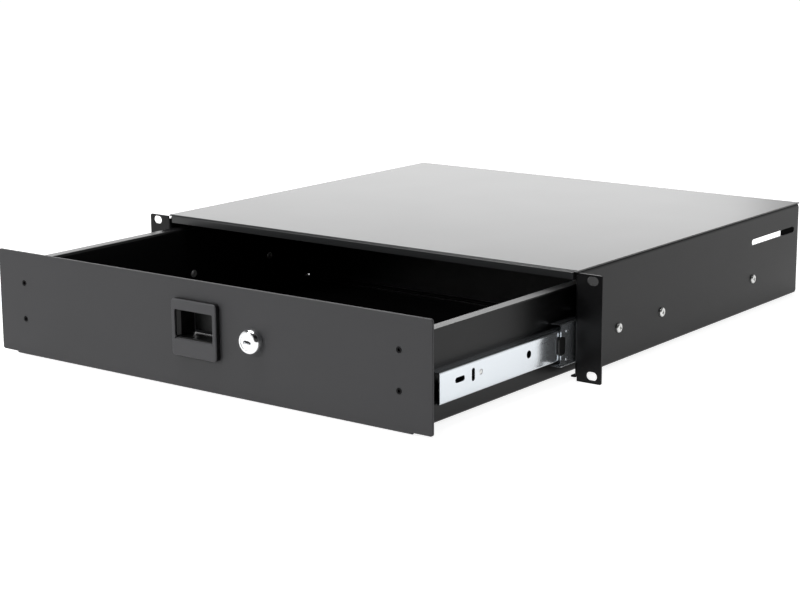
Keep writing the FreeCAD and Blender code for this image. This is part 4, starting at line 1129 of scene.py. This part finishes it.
# %% The lock's plug
low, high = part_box("lock_plug")
shape, tool = bmesh.new(), bmesh.new()
body_end = (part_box("lock_body")[1].y - panel_face) / MM
face = (panel_face - low.y) / MM
turned(shape, [(0, -body_end), (6.2, -body_end), (6.24, face - 0.06), (6.2, face),
               (0, face)],
       (centre.x, panel_face, centre.z), (0, -1, 0), segments=64)
key_wide, key_tall, key_deep = 3.9, 1.3, 5.0
spots = []
for y in (low.y - MM, low.y + key_deep * MM):
    spots.append([tool.verts.new((centre.x + a * MM, y, centre.z + b * MM)) for a, b in (
        (-key_wide, -key_tall), (key_wide, -key_tall), (key_wide, key_tall * 0.3),
        (key_wide * 0.3, key_tall), (-key_wide * 0.5, key_tall),
        (-key_wide, key_tall * 0.4))])
near_ring, far_ring = spots
faces = [tool.faces.new(near_ring), tool.faces.new(far_ring[::-1])]
for i in range(len(near_ring)):
    j = (i + 1) % len(near_ring)
    faces.append(tool.faces.new([near_ring[j], near_ring[i], far_ring[i], far_ring[j]]))
bmesh.ops.recalc_face_normals(tool, faces=faces)
plug = cut_out("keyed_plug", shape, tool)
keep_plain(plug, chrome, nodes["lock_plug"]["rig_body"], "lock_chrome", "lock_plug")

print("keyed_plug", len(plug.data.polygons), "faces")

# %% [markdown]
# The paddle's pin and spring stay as the CAD nodes that they are, and only get the
# finish of drawn wire. The spring is one rigid piece here: it rides on the drawer
# and doesn't bend when the paddle is pressed.

# %% Pin and spring
for node in ("paddle_pin", "paddle_spring"):
    nodes[node].data.materials.clear()
    nodes[node].data.materials.append(spring_wire)
    print(node, "has", len(nodes[node].data.polygons), "faces")

# %% [markdown]
# ## Stage, light and camera
# A white surround must not light the object white. So the world has two strengths,
# and Light Path picks one: a low, even strength for the light that falls on things,
# and another for what is seen.

# %% Which rays see the surround


def seen_directly(tree):
    """1 for camera, glossy and transmission rays, 0 for the light that falls."""
    path = add_node(tree, "ShaderNodeLightPath")
    two = add_node(tree, "ShaderNodeMath", {
        0: path.outputs["Is Camera Ray"], 1: path.outputs["Is Glossy Ray"]}, operation="MAXIMUM")
    return add_node(tree, "ShaderNodeMath", {
        0: two.outputs[0], 1: path.outputs["Is Transmission Ray"]},
        operation="MAXIMUM").outputs[0]


print("seen directly: camera, glossy and transmission rays")

# %% [markdown]
# The camera sees the world at a strength of one, which is white. Glossy and
# transmission rays see it at one too, but only where it isn't faded: it falls to an
# eighth overhead, like an unlit ceiling, and to less toward one side, to the right
# and a little forward, like an unlit wall. So shiny pieces don't show the white
# background in those two directions. The fades are fixed in the room and don't
# follow the camera.

# %% The world
ceiling_seen, wall_seen, falling_light = 0.12, 0.06, 0.28
world = bpy.data.worlds.new("white_studio")
bpy.context.scene.world = world
world.use_nodes = True
tree = world.node_tree
tree.nodes.clear()
falls = add_node(tree, "ShaderNodeBackground", {
    "Color": (1, 1, 1, 1), "Strength": falling_light})
way = add_node(tree, "ShaderNodeSeparateXYZ", {
    0: add_node(tree, "ShaderNodeTexCoord").outputs["Generated"]})
ceiling = add_node(tree, "ShaderNodeMapRange", {
    "Value": way.outputs["Z"], "From Min": 0.3, "From Max": 0.6, "To Min": 1.0,
    "To Max": ceiling_seen}, interpolation_type="SMOOTHSTEP")
camera_ray = add_node(tree, "ShaderNodeLightPath").outputs["Is Camera Ray"]
toward_wall = add_node(tree, "ShaderNodeVectorMath", {
    0: add_node(tree, "ShaderNodeTexCoord").outputs["Generated"], 1: (0.9, -0.44, 0.0)},
    operation="DOT_PRODUCT")
unlit_wall = add_node(tree, "ShaderNodeMapRange", {
    "Value": toward_wall.outputs["Value"], "From Min": 0.35, "From Max": 0.65, "To Min": 1.0,
    "To Max": wall_seen}, interpolation_type="SMOOTHSTEP")
round_about = add_node(tree, "ShaderNodeMath", {0: ceiling.outputs[0], 1: unlit_wall.outputs[0]},
                       operation="MULTIPLY")
bright = add_node(tree, "ShaderNodeMath", {0: camera_ray, 1: round_about.outputs[0]},
                  operation="MAXIMUM")
shows = add_node(tree, "ShaderNodeBackground", {"Color": (1, 1, 1, 1),
                                                "Strength": bright.outputs[0]})
both = add_node(tree, "ShaderNodeMixShader", {
    0: seen_directly(tree), 1: falls.outputs[0], 2: shows.outputs[0]})
add_node(tree, "ShaderNodeOutputWorld", {"Surface": both.outputs[0]})
print("world:", len(tree.nodes), "nodes")

# %% [markdown]
# The floor is a pale matt sheet far wider than the view. It has some emission for
# rays that see it directly: more for the camera than for mirrors. It has none for
# the light that falls, so it keeps the object's shadow and adds nothing of its own
# to the light on matt surfaces.

# %% The floor
mirror_lift, camera_lift, pale = 0.7, 0.86, 0.55
low_z = cad_box[0][2]
floor_mesh = bpy.data.meshes.new("studio_floor")
reach = 30.0
floor_mesh.from_pydata([(-reach, -reach, low_z), (reach, -reach, low_z), (reach, reach, low_z),
                        (-reach, reach, low_z)], [], [(0, 1, 2, 3)])
floor = new_piece("studio_floor", floor_mesh)
floor_paint = bpy.data.materials.new("matt_white_floor")
floor_paint.use_nodes = True
tree = floor_paint.node_tree
tree.nodes.clear()
matt = add_node(tree, "ShaderNodeBsdfDiffuse", {"Color": (pale, pale, pale, 1)})
path = add_node(tree, "ShaderNodeLightPath")
mirror_sees = add_node(tree, "ShaderNodeMath", {0: seen_directly(tree), 1: mirror_lift},
                      operation="MULTIPLY")
camera_sees = add_node(tree, "ShaderNodeMath", {
    0: path.outputs["Is Camera Ray"], 1: camera_lift},
                       operation="MULTIPLY")
lift = add_node(tree, "ShaderNodeMath", {0: mirror_sees.outputs[0], 1: camera_sees.outputs[0]},
                operation="MAXIMUM")
glow = add_node(tree, "ShaderNodeEmission", {"Color": (1, 1, 1, 1), "Strength": lift.outputs[0]})
coat = add_node(tree, "ShaderNodeAddShader", {0: matt.outputs[0], 1: glow.outputs[0]})
add_node(tree, "ShaderNodeOutputMaterial", {"Surface": coat.outputs[0]})
floor_mesh.materials.append(floor_paint)
print("floor at", round(low_z, 4))

# %% [markdown]
# Three softboxes light the drawer. The largest stands behind it to the left and
# lights the cover at a low slant. A small one stands in front to the left, and one
# hangs above. They are wide, because a wide lamp gives a soft shadow and a broad
# gleam. The camera doesn't see them.

# %% Lamps


def softbox(name, place, aim, size, power):
    """An area lamp that looks at a point: place, aim and size in metres, power in watts."""
    lamp = bpy.data.lights.new(name, "AREA")
    lamp.shape = "RECTANGLE"
    lamp.size, lamp.size_y = size
    lamp.energy = power
    holder = bpy.data.objects.new(name, lamp)
    bpy.context.scene.collection.objects.link(holder)
    way = Vector(aim) - Vector(place)
    holder.matrix_world = Matrix.Translation(place) @ way.to_track_quat("-Z", "Y").to_matrix().to_4x4()
    holder.visible_camera = False
    return holder


softbox("rear_softbox", (-2.3, 2.2, 0.85), (0, 0.1, 0.0), (3.15, 1.3), 19)
softbox("front_softbox", (-1.3, -2.6, 1.4), (0.1, -0.1, 0), (0.7, 0.7), 34)
softbox("top_softbox", (-0.3, -0.3, 1.8), (0, 0, 0), (1.2, 1.2), 32)

# %% [markdown]
# The camera stands to the right, in front of the drawer and above it, and looks
# down by twelve and a half degrees. A lens of 87 mm on a 36 mm sensor keeps the
# perspective calm. The three axes are built one by one, since that keeps the slight
# tilt plain to read.

# %% Camera
yaw, pitch, tilt = (math.radians(v) for v in (37.079, 12.549, -0.281))
ahead = Vector((-math.sin(yaw) * math.cos(pitch), math.cos(yaw) * math.cos(pitch), -math.sin(pitch)))
level = Vector((math.cos(yaw), math.sin(yaw), 0))
upward = level.cross(ahead)
right = math.cos(tilt) * level + math.sin(tilt) * upward
above = -math.sin(tilt) * level + math.cos(tilt) * upward
lens = bpy.data.cameras.new("camera")
lens.sensor_width = 36
lens.lens = 87.21
camera = bpy.data.objects.new("camera", lens)
bpy.context.scene.collection.objects.link(camera)
camera.matrix_world = Matrix.Translation((0.9985, -1.2615, 0.3508)) @ Matrix(
    (right, above, -ahead)).transposed().to_4x4()
bpy.context.scene.camera = camera
bpy.context.scene.view_settings.view_transform = "Standard"
print("lens", round(lens.lens, 2))
